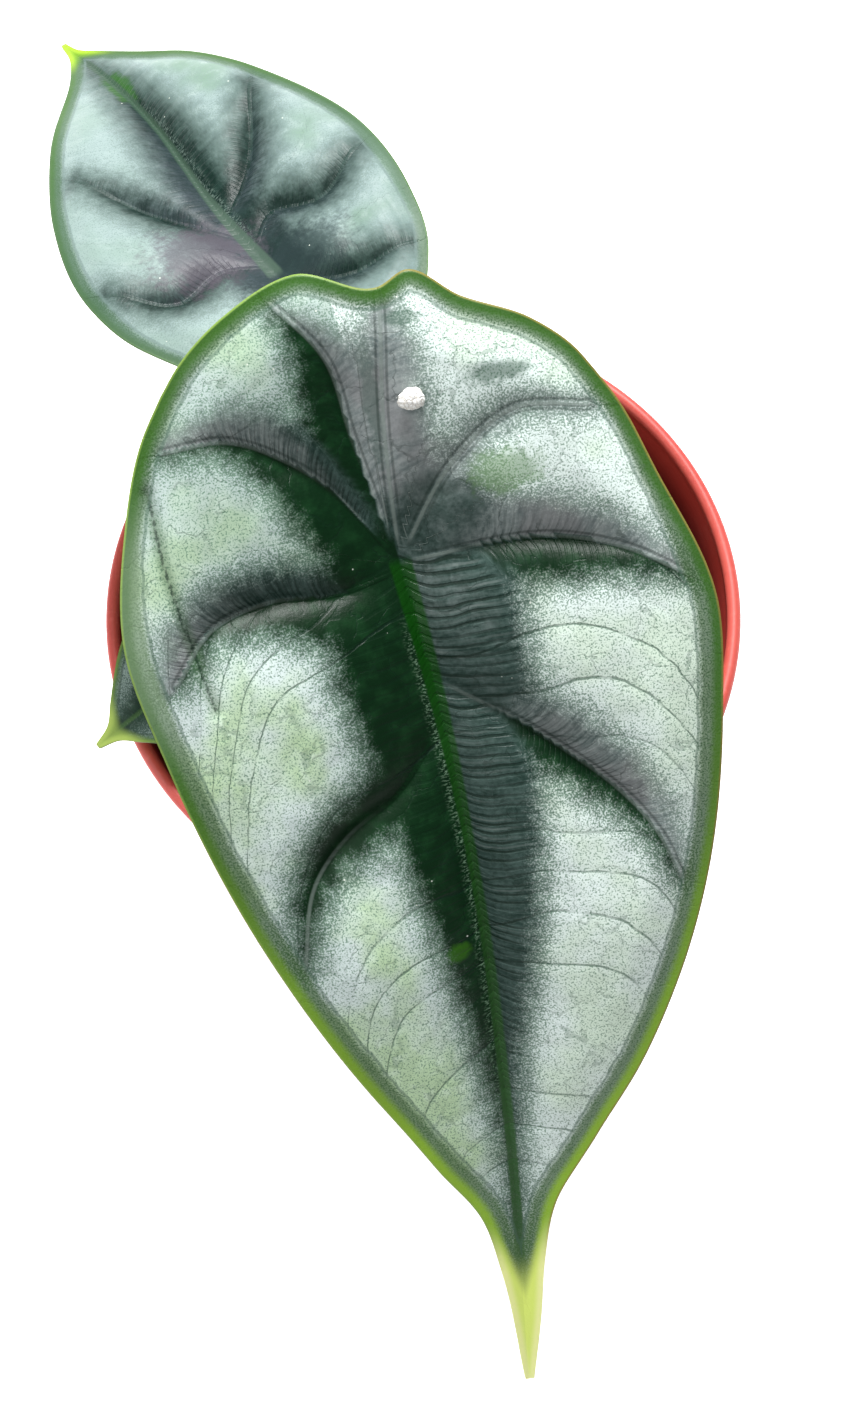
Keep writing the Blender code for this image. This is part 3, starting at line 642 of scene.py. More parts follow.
def bare_skin(g, look, outside, tone, phase, rib_share, broad, blotch, grain, streak):
    """The unsilvered skin along the veins, deep green to painted grey sheen, with painted shade in its rib
    grooves and painted sheen on the crests.
    """
    deep = g.mix(g.step(g.add(blotch, g.mul(g.step(outside, -3.5, 0.5), 0.16)), 0.42, 0.74), look["dark"],
                 look["dark_green"])
    # Painted sheen: its faint and full ashy grey and purple colours, streaked along the ribs.
    sheen_streaks = g.step(g.add(g.mul(streak, 0.6), g.mul(grain, 0.4)), 0.34, 0.66)
    faint_sheen = g.mix(sheen_streaks, look["dim_low"], look["faint_sheen_high"])
    ash_sheen = g.mix(sheen_streaks, look["sheen_grey_low"], look["sheen_grey_high"])
    ash_sheen = g.mix(g.mul(g.step(broad, 0.45, 0.60), 0.55), ash_sheen, look["purple"])
    # How much painted sheen lies here, jittered.
    leaning = g.sway(tone, streak, look["streaky"] * 0.12)
    leaning = g.sway(leaning, blotch, 0.25)
    zone = g.mix(g.step(leaning, 0.12, 0.52), deep, faint_sheen)
    zone = g.mix(g.step(leaning, 0.58, 0.98), zone, ash_sheen)
    turn = g.math("COSINE", g.mul(phase, math.tau))
    # Painted shade in the rib grooves.
    shaded_groove = g.mul(g.step(turn, -0.25, -0.95), g.mul(rib_share, g.step(outside, 1.0, -5.0)))
    strong = g.noise(g.vector(g.mul(phase, 0.8), g.mul(outside, 0.06)), 1.0, 1.0, 0.5)
    # Painted sheen on the rib crests of the ashy hands.
    crest_sheen = g.mul(g.step(turn, 0.55, 0.98), g.mul(rib_share, g.step(tone, 0.15, 0.6)))
    zone = g.mix(g.mul(shaded_groove, g.step(strong, 0.30, 0.62)), zone, look["shaded_groove"])
    zone = g.mix(g.mul(crest_sheen, g.mul(g.step(strong, 0.46, 0.74), 0.38)), zone, look["crest_sheen"])
    return zone, shaded_groove


def nerve_lines(g, look, x, y, edge, nerve, shown, here, broad, blotch):
    """Fine side nerves, broken here and there, and a faint net between them."""
    fold = g.math("PINGPONG", g.sway(nerve, blotch, 0.12), 0.5)
    thread = g.step(g.mul(fold, look["nerve_gap"]), 0.24, 0.07)
    thread = g.mul(thread, g.mul(g.step(edge, 2.4, 3.8), g.step(y, 1.0, -8.0)))
    grown = g.step(g.add(blotch, g.mul(broad, 0.5)), 0.50, 0.80)
    thread = g.mul(thread, g.mul(g.step(shown, 0.25, 0.60), grown))
    cell = g.vector(g.add(x, g.mul(blotch, 5.0)), g.add(y, g.mul(g.noise(here, 0.3), 6.0)))
    lace = g.mul(g.step(g.cells(cell, 0.16), 0.030, 0.006), g.step(blotch, 0.40, 0.56))
    lines = g.mul(g.math("MAXIMUM", g.mul(thread, 0.72), g.mul(lace, 0.36)), look["lines"])
    return lines


def green_patches(g, look, colour, x, y, blotch, grain):
    """The few larger soft-edged patches of each blade, some of them painted shade or painted sheen."""
    for cx, cy, rx, ry, key, share in look["patches"]:
        out = g.math("SQRT", g.add(g.math("POWER", g.mul(g.sub(x, cx), 1 / rx), 2.0),
                                   g.math("POWER", g.mul(g.sub(y, cy), 1 / ry), 2.0)))
        out = g.add(out, g.mul(g.sub(g.add(blotch, g.mul(grain, 0.6)), 0.8), 1.2))
        colour = g.mix(g.mul(g.step(out, 1.15, 0.45), share), colour, look[key])
    return colour


def midrib(g, look, colour, x, y, mid, grain):
    """The green core of the midrib, with a row of pale flecks on its shaded hand."""
    core = g.math("ABSOLUTE", g.sway(mid, grain, 0.25))
    span = g.node("ShaderNodeMapRange")
    g.put(span.inputs[0], y)
    widths = (0.0, -look["long"] * 0.3, look["core"], look["core"] * 0.45)
    for socket, value in zip(list(span.inputs)[1:5], widths):
        socket.default_value = value
    core = g.step(g.sub(core, span.outputs[0]), 0.30, -0.15)
    core = g.mul(core, g.step(y, 1.0, -0.8))
    toward_tip = g.step(y, -look["long"] * 0.07, -look["long"] * 0.62)
    core_colour = g.mix(toward_tip, look["core_high"], look["core_low"])
    colour = g.mix(g.mul(core, 0.92), colour, core_colour)
    beside = g.sub(g.mul(mid, -1.0), span.outputs[0])
    fleck = g.noise(g.vector(g.mul(x, 1.0), g.mul(y, 2.2)), 1.9, 2.0, 0.6)
    dots = g.mul(g.mul(g.step(beside, -0.1, 0.25), g.step(beside, 1.5, 0.2)), g.step(fleck, 0.49, 0.62))
    dots = g.mul(dots, g.mul(g.step(y, -5.0, -13.0), g.step(y, -look["long"] * 0.72, -look["long"] * 0.5)))
    colour = g.mix(g.mul(dots, 0.55), colour, look["speck_light"])
    return colour, core


def side_strands(g, look, colour, tone, side_vein, side_share):
    """A pale strand along each side vein, paler where the painted sheen is, with a thin painted shadow
    on both sides of it there.
    """
    # How much painted sheen lies here; the strand is paler and shadowed there.
    on_sheen = g.step(tone, 0.35, 0.80)
    pale = g.math("MAXIMUM", g.mul(g.step(side_share, 0.30, 0.70), 0.40), g.mul(on_sheen, 0.60))
    strand = g.mul(g.step(g.math("ABSOLUTE", side_vein), 0.38, 0.08), g.step(side_share, 0.02, 0.10))
    colour = g.mix(g.mul(strand, pale), colour, look["strand"])
    shadow = g.step(g.math("ABSOLUTE", g.sub(g.math("ABSOLUTE", side_vein), 0.62)), 0.26, 0.05)
    shadow = g.mul(shadow, g.mul(on_sheen, g.step(side_share, 0.02, 0.10)))
    colour = g.mix(g.mul(shadow, 0.45), colour, look["shaded_groove"])
    return colour, strand


def blade_material(name, look):
    """Silver skin speckled with green; bare bands along the veins, deep green on the shaded hand
    and painted grey sheen on the other; a green margin inside a thin bright lip; a lime drip tip."""
    look = {key: srgb(*value) if isinstance(value, tuple) else value for key, value in look.items()}
    g = Graph(name, look["rough"])
    g.shader.inputs["Specular IOR Level"].default_value = 0.16
    x, y, edge, _ = g.attribute("drawing")
    # tone is how much painted sheen lies here.
    outside, tone, side_vein, _ = g.attribute("bands")
    phase, rib_share, nerve, _ = g.attribute("ribs")
    mid, shown, crease, _ = g.attribute("marks")
    upper, side_share, _, _ = g.attribute("faces")
    here = g.vector(x, y)
    broad = g.noise(here, 0.085, 3.0, 0.55)
    blotch = g.noise(here, 0.42, 3.0, 0.55)
    grain = g.noise(here, 1.7, 3.0, 0.65)
    speck = g.noise(here, 4.2, 2.0, 0.6)
    streak = g.noise(g.vector(g.mul(phase, 1.4), g.mul(outside, 0.22)), 1.0, 3.0, 0.6)

    silver = silver_skin(g, look, outside, mid, y, broad, blotch, grain, speck)
    zone, shaded_groove = bare_skin(g, look, outside, tone, phase, rib_share, broad, blotch, grain, streak)
    ragged = g.sway(outside, blotch, 3.2)
    ragged = g.sway(ragged, streak, look["streaky"])
    ragged = g.sway(ragged, grain, 1.8)
    ragged = g.sway(ragged, speck, look["stipple"])
    ragged = g.sub(ragged, g.mul(shaded_groove, 0.5))
    bare = g.step(ragged, look["soft"], -look["soft"])
    colour = g.mix(bare, silver, zone)

    lines = nerve_lines(g, look, x, y, edge, nerve, shown, here, broad, blotch)
    colour = g.mix(lines, colour, g.mix(bare, look["line"], look["shaded_groove"]))
    tucked = g.sway(crease, grain, 0.7)
    colour = g.mix(g.mul(g.step(tucked, 1.3, 0.2), 0.45), colour, look["margin_high"])
    # Painted shade: a dark line down the crease.
    colour = g.mix(g.mul(g.step(tucked, 0.32, 0.06), 0.7), colour, look["shaded_groove"])

    colour = green_patches(g, look, colour, x, y, blotch, grain)
    colour, core = midrib(g, look, colour, x, y, mid, grain)
    colour, strand = side_strands(g, look, colour, tone, side_vein, side_share)
    colour = margin(g, look, colour, x, y, edge, mid, blotch, grain, speck)
    dust = g.mul(g.step(g.cells(here, 0.30, "F1"), 0.045, 0.025), g.step(broad, 0.47, 0.50))
    colour = g.mix(g.mul(dust, 0.75), colour, srgb(226, 232, 222))

    back = g.mix(g.step(blotch, 0.3, 0.7), look["under_dark"], look["under_light"])
    back = g.mix(g.math("MAXIMUM", core, strand), back, look["under_vein"])
    colour = g.mix(upper, back, colour)

    rough = g.add(look["rough"], g.mul(g.sub(speck, 0.5), 0.22))
    height = g.add(g.mul(shaded_groove, -0.8), g.mul(grain, 0.35))
    height = g.add(height, g.mul(lines, -0.5))
    height = g.add(height, g.mul(strand, 0.5))
    return g.finish(colour, rough, g.bump(height, 0.00016, 0.8))


def margin(g, look, colour, x, y, edge, mid, blotch, grain, speck):
    """The collective vein, the green margin outside it with painted sheen on its left middle, its lip
    and the drip tip.
    """
    low = g.step(y, look["long"] * -0.12, look["long"] * -0.78)
    right = g.step(x, -4.0, 6.0)
    # Painted sheen: where the margin is paler, on the left middle of the blade.
    pale = g.mul(g.sub(1.0, right), g.mul(g.step(y, 16.0, 4.0), g.step(y, -24.0, -8.0)))
    ragged = g.sway(edge, blotch, look["margin"] * 0.22)
    ragged = g.add(ragged, g.mul(g.step(y, -8.0, 8.0), look["margin"] * 0.28))
    band = g.step(g.sway(ragged, speck, 0.8), look["margin"] + 0.5, look["margin"] - 0.7)
    inner = g.mix(low, look["margin_high"], look["margin_low"])
    inner = g.mix(g.mul(pale, 0.85), inner, look["margin_sheen"])
    inner = g.mix(g.mul(g.step(speck, 0.42, 0.64), 0.16), inner, look["silver_green"])
    colour = g.mix(g.mul(band, 0.86), colour, inner)
    outer = g.mix(low, look["hem_high"], look["hem_low"])
    outer = g.mix(g.mul(pale, 0.6), outer, look["margin_sheen"])
    hem = g.step(g.sway(edge, grain, 0.5), look["margin"] * 0.62, look["margin"] * 0.22)
    colour = g.mix(g.mul(hem, 0.85), colour, outer)
    vein = g.math("ABSOLUTE", g.sub(ragged, look["margin"] + 0.15))
    colour = g.mix(g.mul(g.step(vein, 0.30, 0.08), 0.55), colour, look["line"])
    lip = g.mix(right, look["lip"], look["lip_right"])
    colour = g.mix(g.mul(g.step(edge, 0.34, 0.10), 0.8), colour, lip)
    lime = g.mix(g.step(edge, 1.3, 0.3), look["lime"], look["lime_edge"])
    start = g.add(g.mul(y, -1.0 / look["long"]), g.mul(g.step(edge, 2.6, 0.6), 0.055))
    return g.mix(g.step(start, look["lime_from"], look["lime_from"] + 0.085), colour, lime)


# Colours here are 8-bit screen colours; blade_material turns them linear.
MAIN_LOOK = {
    "rough": 0.40, "long": 117.2, "nerve_gap": 5.8, "soft": 2.5,
    "streaky": 1.4, "stipple": 2.8, "lines": 1.0,
    "silver": (208, 222, 220), "silver_green": (184, 210, 172), "silver_high": (220, 236, 226),
    "speck": (98, 130, 110), "speck_light": (128, 160, 132),
    # The lightened silver right of the midrib is painted light.
    "silver_side_light": (228, 240, 236), "veil": (140, 162, 154), "veil_share": 0.45,
    "seam_shade": (84, 100, 94),
    # The dark skin, then the painted sheen over it from faint to ashy grey and purple, the painted shade of
    # the rib grooves and the painted sheen of the rib crests.
    "dark": (2, 35, 12), "dark_green": (14, 52, 24), "dim_low": (28, 50, 44),
    "faint_sheen_high": (64, 84, 79), "sheen_grey_low": (106, 118, 118), "sheen_grey_high": (148, 156, 155),
    "purple": (126, 124, 127), "shaded_groove": (8, 32, 22),
    "crest_sheen": (126, 136, 133), "line": (70, 98, 82), "core": 1.35,
    "core_high": (4, 60, 0), "core_low": (46, 82, 42), "strand": (126, 138, 132),
    "margin": 3.2, "margin_high": (46, 80, 38), "margin_low": (64, 98, 54),
    # The pale margin colour is painted sheen.
    "margin_sheen": (112, 136, 106), "hem_high": (54, 98, 26), "hem_low": (150, 192, 48),
    "lip": (140, 170, 80), "lip_right": (146, 132, 66),
    "lime": (228, 246, 124), "lime_edge": (250, 255, 172), "lime_from": 0.815,
    "under_dark": (96, 128, 84), "under_light": (136, 160, 112), "under_vein": (170, 190, 130),
    "green_patch": (104, 138, 92), "bright_patch": (58, 112, 18), "shade": (52, 84, 66),
    # The shade and seam_shade patches are painted shade.
    "patches": [(13.9, 9.0, 5.0, 3.2, "green_patch", 0.6), (-0.7, -49.5, 1.9, 1.3, "bright_patch", 0.5),
                (4.5, 28.5, 2.6, 1.2, "shade", 0.6), (14.5, 20.5, 4.5, 1.6, "shade", 0.7),
                (-0.4, 20.0, 1.3, 9.0, "seam_shade", 0.65)],
}
BACK_LOOK = dict(
    MAIN_LOOK, long=73.7, nerve_gap=5.0, soft=3.6, streaky=0.0, stipple=1.0, lines=0.3,
    silver=(146, 164, 162), silver_green=(120, 146, 130),
    silver_high=(166, 182, 178), silver_side_light=(150, 168, 166),
    speck=(122, 142, 136), speck_light=(120, 140, 130),
    veil=(104, 126, 124), veil_share=0.75,
    dark=(10, 34, 28), dark_green=(24, 50, 42), dim_low=(42, 56, 58), faint_sheen_high=(64, 74, 80),
    sheen_grey_low=(84, 88, 94), sheen_grey_high=(104, 108, 112),
    purple=(92, 86, 96), shaded_groove=(36, 52, 50), crest_sheen=(104, 112, 112), line=(104, 124, 120), core=1.1,
    core_high=(68, 88, 76), core_low=(56, 80, 64), strand=(62, 82, 76), margin=2.2,
    margin_high=(58, 88, 60), margin_low=(60, 92, 56), margin_sheen=(84, 110, 88),
    hem_high=(62, 92, 60), hem_low=(72, 106, 54), lip=(90, 120, 72), lip_right=(84, 112, 74),
    lime=(104, 148, 14), lime_edge=(150, 184, 40), lime_from=0.895,
    # The purple patch right of the junction is painted sheen.
    patches=[(-1.0, -52.5, 2.2, 5.5, "core_green", 0.85), (7.0, -8.0, 9.0, 8.0, "purple", 0.65),
             (-4.0, 1.0, 9.0, 6.0, "dim_low", 0.65)],
    core_green=(46, 92, 34))
# The low leaf's look: its own colours darkened throughout as painted shade.
LOW_SHADED_LOOK = dict(
    MAIN_LOOK, long=39.6, nerve_gap=3.6, soft=1.6, streaky=0.0, stipple=1.5, lines=0.6,
    silver=(126, 144, 139), silver_green=(62, 86, 76), silver_high=(134, 150, 146),
    silver_side_light=(118, 136, 131), speck=(48, 68, 62), speck_light=(60, 84, 72),
    veil=(44, 64, 58), veil_share=0.5,
    dark=(20, 42, 32), dark_green=(28, 52, 38), dim_low=(34, 52, 46), faint_sheen_high=(50, 68, 64),
    sheen_grey_low=(42, 58, 54), sheen_grey_high=(68, 84, 80),
    purple=(60, 72, 70), shaded_groove=(20, 36, 28), crest_sheen=(72, 88, 82), line=(34, 52, 44), core=0.6,
    core_high=(36, 68, 36), core_low=(52, 80, 44), strand=(44, 66, 52), margin=1.1,
    margin_high=(42, 70, 40), margin_low=(60, 88, 48), margin_sheen=(50, 78, 44),
    hem_high=(64, 96, 44), hem_low=(92, 118, 54), lip=(104, 130, 66), lip_right=(104, 130, 66),
    lime=(118, 140, 66), lime_edge=(150, 170, 84), lime_from=0.87, patches=[])


def blades():
    build_blade("fine_blade_main", MAIN, 170, 290, blade_material("silver_blade", MAIN_LOOK), "silver_leaf")
    build_blade("fine_blade_back", BACK, 130, 190, blade_material("back_blade", BACK_LOOK), "back_leaf")
    build_blade("fine_blade_low", LOW, 90, 120, blade_material("low_blade", LOW_SHADED_LOOK), "low_leaf")


# ---- leaf stalks -----------------------------------------------------------------------------
STALK_HEAD = 0.0019


def stalk_material():
    """Pale green, flushed brown low down, with short dark flecks along its length."""
    g = Graph("stalk_skin", 0.42)
    along, turn, _, _ = g.attribute("stalk")
    where = g.vector(g.mul(turn, 5.0), g.mul(along, 55.0))
    fleck = g.noise(where, 1.0, 3.0, 0.6)
    broad = g.noise(where, 0.25, 2.0, 0.5)
    green = g.mix(g.step(broad, 0.35, 0.65), srgb(112, 134, 66), srgb(142, 160, 88))
    colour = g.mix(g.step(along, 0.55, 0.02), green, srgb(128, 96, 66))
    colour = g.mix(g.mul(g.step(fleck, 0.56, 0.64), 0.65), colour, srgb(74, 62, 44))
    colour = g.mix(g.mul(g.step(along, 0.05, 0.0), 0.8), colour, srgb(196, 176, 142))
    fine = g.noise(g.vector(g.mul(turn, 30.0), g.mul(along, 30.0)), 1.0, 2.0, 0.5)
    return g.finish(colour, g.add(0.38, g.mul(fleck, 0.15)), g.bump(fine, 0.0002, 0.5))


def build_stalk(node, leaf, degrees, knee, foot_share, head_radius, paint):
    """A tapering stalk with a channelled sheath at its foot, sunk into its blade's underside."""
    turn = math.radians(degrees)
    ring = CROWN_RADIUS * 0.56
    foot = np.array([ring * math.cos(turn), ring * math.sin(turn), CROWN_Z + 0.0001])
    head = leaf.J - leaf.N * 0.0009
    reach = np.linalg.norm(head - foot)
    rise = np.array([foot[0] * 0.5, foot[1] * 0.5, 1.0])
    a = foot + rise / np.linalg.norm(rise) * reach * knee[0]
    b = head - leaf.N * reach * knee[1]
    rings, sides = 96, 40
    t = np.linspace(0, 1, rings)[:, None]
    q = 1 - t
    centre = foot * q ** 3 + a * 3 * q * q * t + b * 3 * q * t * t + head * t ** 3
    tangent = np.gradient(centre, axis=0)
    tangent /= np.linalg.norm(tangent, axis=1, keepdims=True)
    out = np.array([math.cos(turn), math.sin(turn), 0.0])
    side = np.cross(tangent, out)
    side /= np.linalg.norm(side, axis=1, keepdims=True)
    face = np.cross(side, tangent)
    angle = np.linspace(0, math.tau, sides, endpoint=False)[None, :]
    swell = np.exp(-(t * reach / 0.012) ** 2)
    foot_radius = CROWN_RADIUS * foot_share
    radius = head_radius + (foot_radius - head_radius) * (0.35 * q + 0.65 * swell)
    radius = radius * (1 + 0.22 * np.exp(-((1 - t) * reach / 0.0022) ** 2))
    sheath = smooth(t * reach, 0.30 * reach, 0.0)
    channel = 1 - 0.30 * sheath * np.exp(-((np.abs(angle - math.pi)) / 0.42) ** 2)
    ribs = 1 + 0.018 * np.cos(angle * 14)
    r = radius * channel * ribs
    points = (centre[:, None, :] + face[:, None, :] * (r * np.cos(angle))[:, :, None]
              + side[:, None, :] * (r * np.sin(angle))[:, :, None])
    quads = grid_quads(sides, rings, wrap=True)
    points = points.reshape(-1, 3)
    ends = [centre[0], centre[-1]]
    data = bpy.data.meshes.new("fine_" + node)
    faces = [tuple(f) for f in quads]
    low, high = len(points), len(points) + 1
    for k in range(sides):
        faces.append((low, (k + 1) % sides, k))
        top_row = (rings - 1) * sides
        faces.append((high, top_row + k, top_row + (k + 1) % sides))
    data.from_pydata([tuple(p) for p in points] + [tuple(e) for e in ends], [], faces)
    data.update()
    data.shade_smooth()
    clean = bmesh.new()
    clean.from_mesh(data)
    bmesh.ops.recalc_face_normals(clean, faces=clean.faces)
    clean.to_mesh(data)
    clean.free()
    along = np.repeat(t[:, 0], sides)
    around = np.tile(np.sin(angle[0]), rings)
    fields = np.stack([along, around, np.tile(np.cos(angle[0]), rings)], 1)
    vector_attribute(data, "stalk", np.concatenate([fields, [[0, 0, 0], [1, 0, 0]]]))
    show("fine_" + node, data, paint, "leaf_stalk", node)


def stalks():
    skin = stalk_material()
    build_stalk("stalk_main", MAIN, -90, (0.45, 0.35), 0.42, STALK_HEAD, skin)
    build_stalk("stalk_back", BACK, 60, (0.45, 0.30), 0.38, STALK_HEAD * 0.80, skin)
    build_stalk("stalk_low", LOW, 180, (0.48, 0.22), 0.32, STALK_HEAD * 0.65, skin)


# ---- pot -------------------------------------------------------------------------------------
def pot_material():
    """Thin coral-red injection-moulded plastic: faint flow marks and dust low down."""
    g = Graph("nursery_plastic", 0.42)
    place = g.object_place()
    split = g.node("ShaderNodeSeparateXYZ")
    g.tree.links.new(place, split.inputs[0])
    z = split.outputs[2]
    broad = g.noise(place, 28.0, 3.0, 0.5)
    fine = g.noise(place, 900.0, 3.0, 0.6)
    drawn_up = g.vector(g.mul(split.outputs[0], 260.0), g.mul(split.outputs[1], 260.0), g.mul(z, 2600.0))
    scratch = g.noise(drawn_up, 1.0, 2.0, 0.6)
    colour = g.mix(g.step(broad, 0.35, 0.68), srgb(198, 74, 66), srgb(210, 88, 78))
    colour = g.mix(g.mul(g.step(fine, 0.52, 0.72), 0.25), colour, srgb(228, 112, 98))
    dust = g.mul(g.step(z, 0.030, 0.0), g.step(broad, 0.40, 0.62))
    colour = g.mix(g.mul(dust, 0.30), colour, srgb(190, 140, 120))
    splash = g.mul(g.step(g.noise(place, 160.0, 3.0, 0.7), 0.62, 0.70), 0.45)
    colour = g.mix(splash, colour, srgb(150, 70, 56))
    inner, _, _, _ = g.attribute("inner")
    # Painted shade: the inner wall darkens from red under the rim to near black lower down.
    wall = g.mix(g.step(z, POT_HEIGHT - 0.0022, POT_HEIGHT - 0.0100), srgb(176, 50, 42), srgb(92, 4, 2))
    colour = g.mix(g.mul(inner, 0.95), colour, wall)
    rough = g.add(0.36, g.mul(scratch, 0.22))
    return g.finish(colour, rough, g.bump(g.add(fine, g.mul(scratch, 0.5)), 0.00004, 0.5))


def arc(centre, radius, start, end, count):
    angles = np.radians(np.linspace(start, end, count + 1))
    return [(centre[0] + radius * math.cos(a), centre[1] + radius * math.sin(a)) for a in angles]


def rounded(points, radius, count=4):
    """The same chain of points with each inner corner swept by a small curve."""
    made = [points[0]]
    for before, corner, after in zip(points[:-2], points[1:-1], points[2:]):
        b, c, a = (np.array(k, float) for k in (before, corner, after))
        cut = min(radius, 0.45 * np.linalg.norm(b - c), 0.45 * np.linalg.norm(a - c))
        start = c + (b - c) / np.linalg.norm(b - c) * cut
        end = c + (a - c) / np.linalg.norm(a - c) * cut
        for t in np.linspace(0, 1, count + 1):
            made.append(tuple((1 - t) ** 2 * start + 2 * t * (1 - t) * c + t * t * end))
    return made + [points[-1]]


def turned(profile, steps):
    """A turned mesh whose profile starts and ends on the axis."""
    bm = bmesh.new()
    row = [bm.verts.new((r, 0.0, z)) for r, z in profile]
    for first, second in zip(row[:-1], row[1:]):
        bm.edges.new((first, second))
    bmesh.ops.spin(bm, geom=bm.verts[:] + bm.edges[:], cent=(0, 0, 0), axis=(0, 0, 1), angle=math.tau,
                   steps=steps, use_merge=True)
    bmesh.ops.remove_doubles(bm, verts=bm.verts, dist=1e-6)
    bmesh.ops.recalc_face_normals(bm, faces=bm.faces)
    return bm


WALL = 0.0013
ROLL = 0.0011
COLLAR_TOP = POT_RADIUS - 0.0009
COLLAR_FOOT = COLLAR_TOP - 0.0014
BODY_TOP = COLLAR_FOOT - 0.0021
COLLAR_Z = POT_HEIGHT - 0.0140
POT_BASE = 0.0360
FLOOR = 0.0015
DRAIN_RADIUS = 0.0040


def is_inside(point):
    """Whether a place on the pot's skin is on the inner wall, under the rolled rim."""
    heights = (0.0, COLLAR_Z - 0.0010, COLLAR_Z + 0.0005, POT_HEIGHT - 0.0026)
    middles = (POT_BASE, BODY_TOP, COLLAR_FOOT, COLLAR_TOP)
    middle = np.interp(point.z, heights, middles) - WALL / 2
    return math.hypot(point.x, point.y) < middle and point.z < POT_HEIGHT - 0.0013


def build_pot():
    inside = [(0.0, FLOOR), (POT_BASE - WALL - 0.0012, FLOOR), (POT_BASE - WALL + 0.0002, FLOOR + 0.0014),
              (BODY_TOP - WALL, COLLAR_Z - 0.0015), (COLLAR_FOOT - WALL, COLLAR_Z + 0.0012),
              (COLLAR_TOP - WALL, POT_HEIGHT - 0.0026)]
    roll = arc((POT_RADIUS - ROLL, POT_HEIGHT - ROLL), ROLL, 205, -55, 20)
    outside = [(COLLAR_TOP, POT_HEIGHT - 0.0026), (COLLAR_FOOT, COLLAR_Z + 0.0003),
               (COLLAR_FOOT - 0.0005, COLLAR_Z - 0.0003), (BODY_TOP, COLLAR_Z - 0.0006),
               (POT_BASE + 0.0006, 0.0016), (POT_BASE + 0.0002, 0.0006),
               (POT_BASE - 0.0004, 0.0), (0.0, 0.0)]
    profile = rounded(inside, 0.0006) + roll + rounded(outside, 0.0004)
    bm = turned(profile, 180)
    data = bpy.data.meshes.new("fine_pot")
    bm.to_mesh(data)
    bm.free()
    raw = linked("raw_pot", data)
    drains = bmesh.new()
    for i in range(6):
        a = math.tau * i / 6
        hole = bmesh.ops.create_cone(drains, cap_ends=True, segments=40, radius1=DRAIN_RADIUS,
                                     radius2=DRAIN_RADIUS, depth=0.012)
        shift = Vector((POT_BASE * 0.64 * math.cos(a), POT_BASE * 0.64 * math.sin(a), 0.0))
        bmesh.ops.translate(drains, verts=hole["verts"], vec=shift)
    cut_data = bpy.data.meshes.new("drains")
    drains.to_mesh(cut_data)
    drains.free()
    cutter = linked("drains", cut_data)
    cut = raw.modifiers.new("drains", "BOOLEAN")
    cut.operation = "DIFFERENCE"
    cut.solver = "EXACT"
    cut.object = cutter
    baked = bpy.data.meshes.new_from_object(raw.evaluated_get(bpy.context.evaluated_depsgraph_get()))
    bpy.data.objects.remove(raw)
    bpy.data.objects.remove(cutter)
    baked.name = "fine_pot_mesh"
    baked.shade_smooth()
    baked.set_sharp_from_angle(angle=math.radians(40))
    inner = [float(is_inside(v.co)) for v in baked.vertices]
    vector_attribute(baked, "inner", np.stack([inner, inner, inner], 1))
    show("fine_pot", baked, pot_material(), "pot_plastic", "pot")


# ---- soil ------------------------------------------------------------------------------------
SOIL_DROP = 0.0110
CRUMBS = 1150


def soil_material():
    g = Graph("dark_mix", 0.92)
    tone, _, _, _ = g.attribute("tone")
    place = g.object_place()
    fine = g.noise(place, 1400.0, 4.0, 0.7)
    broad = g.noise(place, 170.0, 3.0, 0.6)
    colour = g.mix(tone, srgb(22, 14, 11), srgb(74, 50, 36))
    colour = g.mix(g.step(broad, 0.3, 0.7), colour, srgb(38, 24, 18))
    colour = g.mix(g.mul(g.step(fine, 0.55, 0.72), 0.5), colour, srgb(96, 68, 50))
    return g.finish(colour, 0.92, g.bump(fine, 0.0005, 0.9))


def crumb_shapes(count):
    """A few pitted crumbs for the soil to be strewn with."""
    made = []
    for k in range(count):
        bm = bmesh.new()
        bmesh.ops.create_icosphere(bm, subdivisions=2, radius=1.0)
        for v in bm.verts:
            lump = noise.noise(v.co * 1.3 + Vector((k * 7.3, 1.1, 0.4)))
            pit = noise.noise(v.co * 3.7 + Vector((k * 2.9, 5.1, 3.4)))
            v.co *= 1.0 + 0.42 * lump + 0.20 * pit
        points = np.array([v.co[:] for v in bm.verts])
        faces = np.array([[v.index for v in f.verts] for f in bm.faces])
        bm.free()
        made.append((points, faces))
    return made


def soil_height(x, y):
    """The CAD soil surface's height, which the strewn crumbs lie on."""
    r = math.hypot(x, y)
    calm = min(1.0, max(0.0, (r - 0.008) / 0.006))
    coarse = noise.noise(Vector((x * 95.0, y * 95.0, 1.7)))
    fine = noise.noise(Vector((x * 230.0, y * 230.0, 8.3)))
    dish = -0.0010 * min(1.0, r / POT_RADIUS) ** 2
    return POT_HEIGHT - SOIL_DROP + dish + calm * (0.0012 * coarse + 0.0005 * fine)


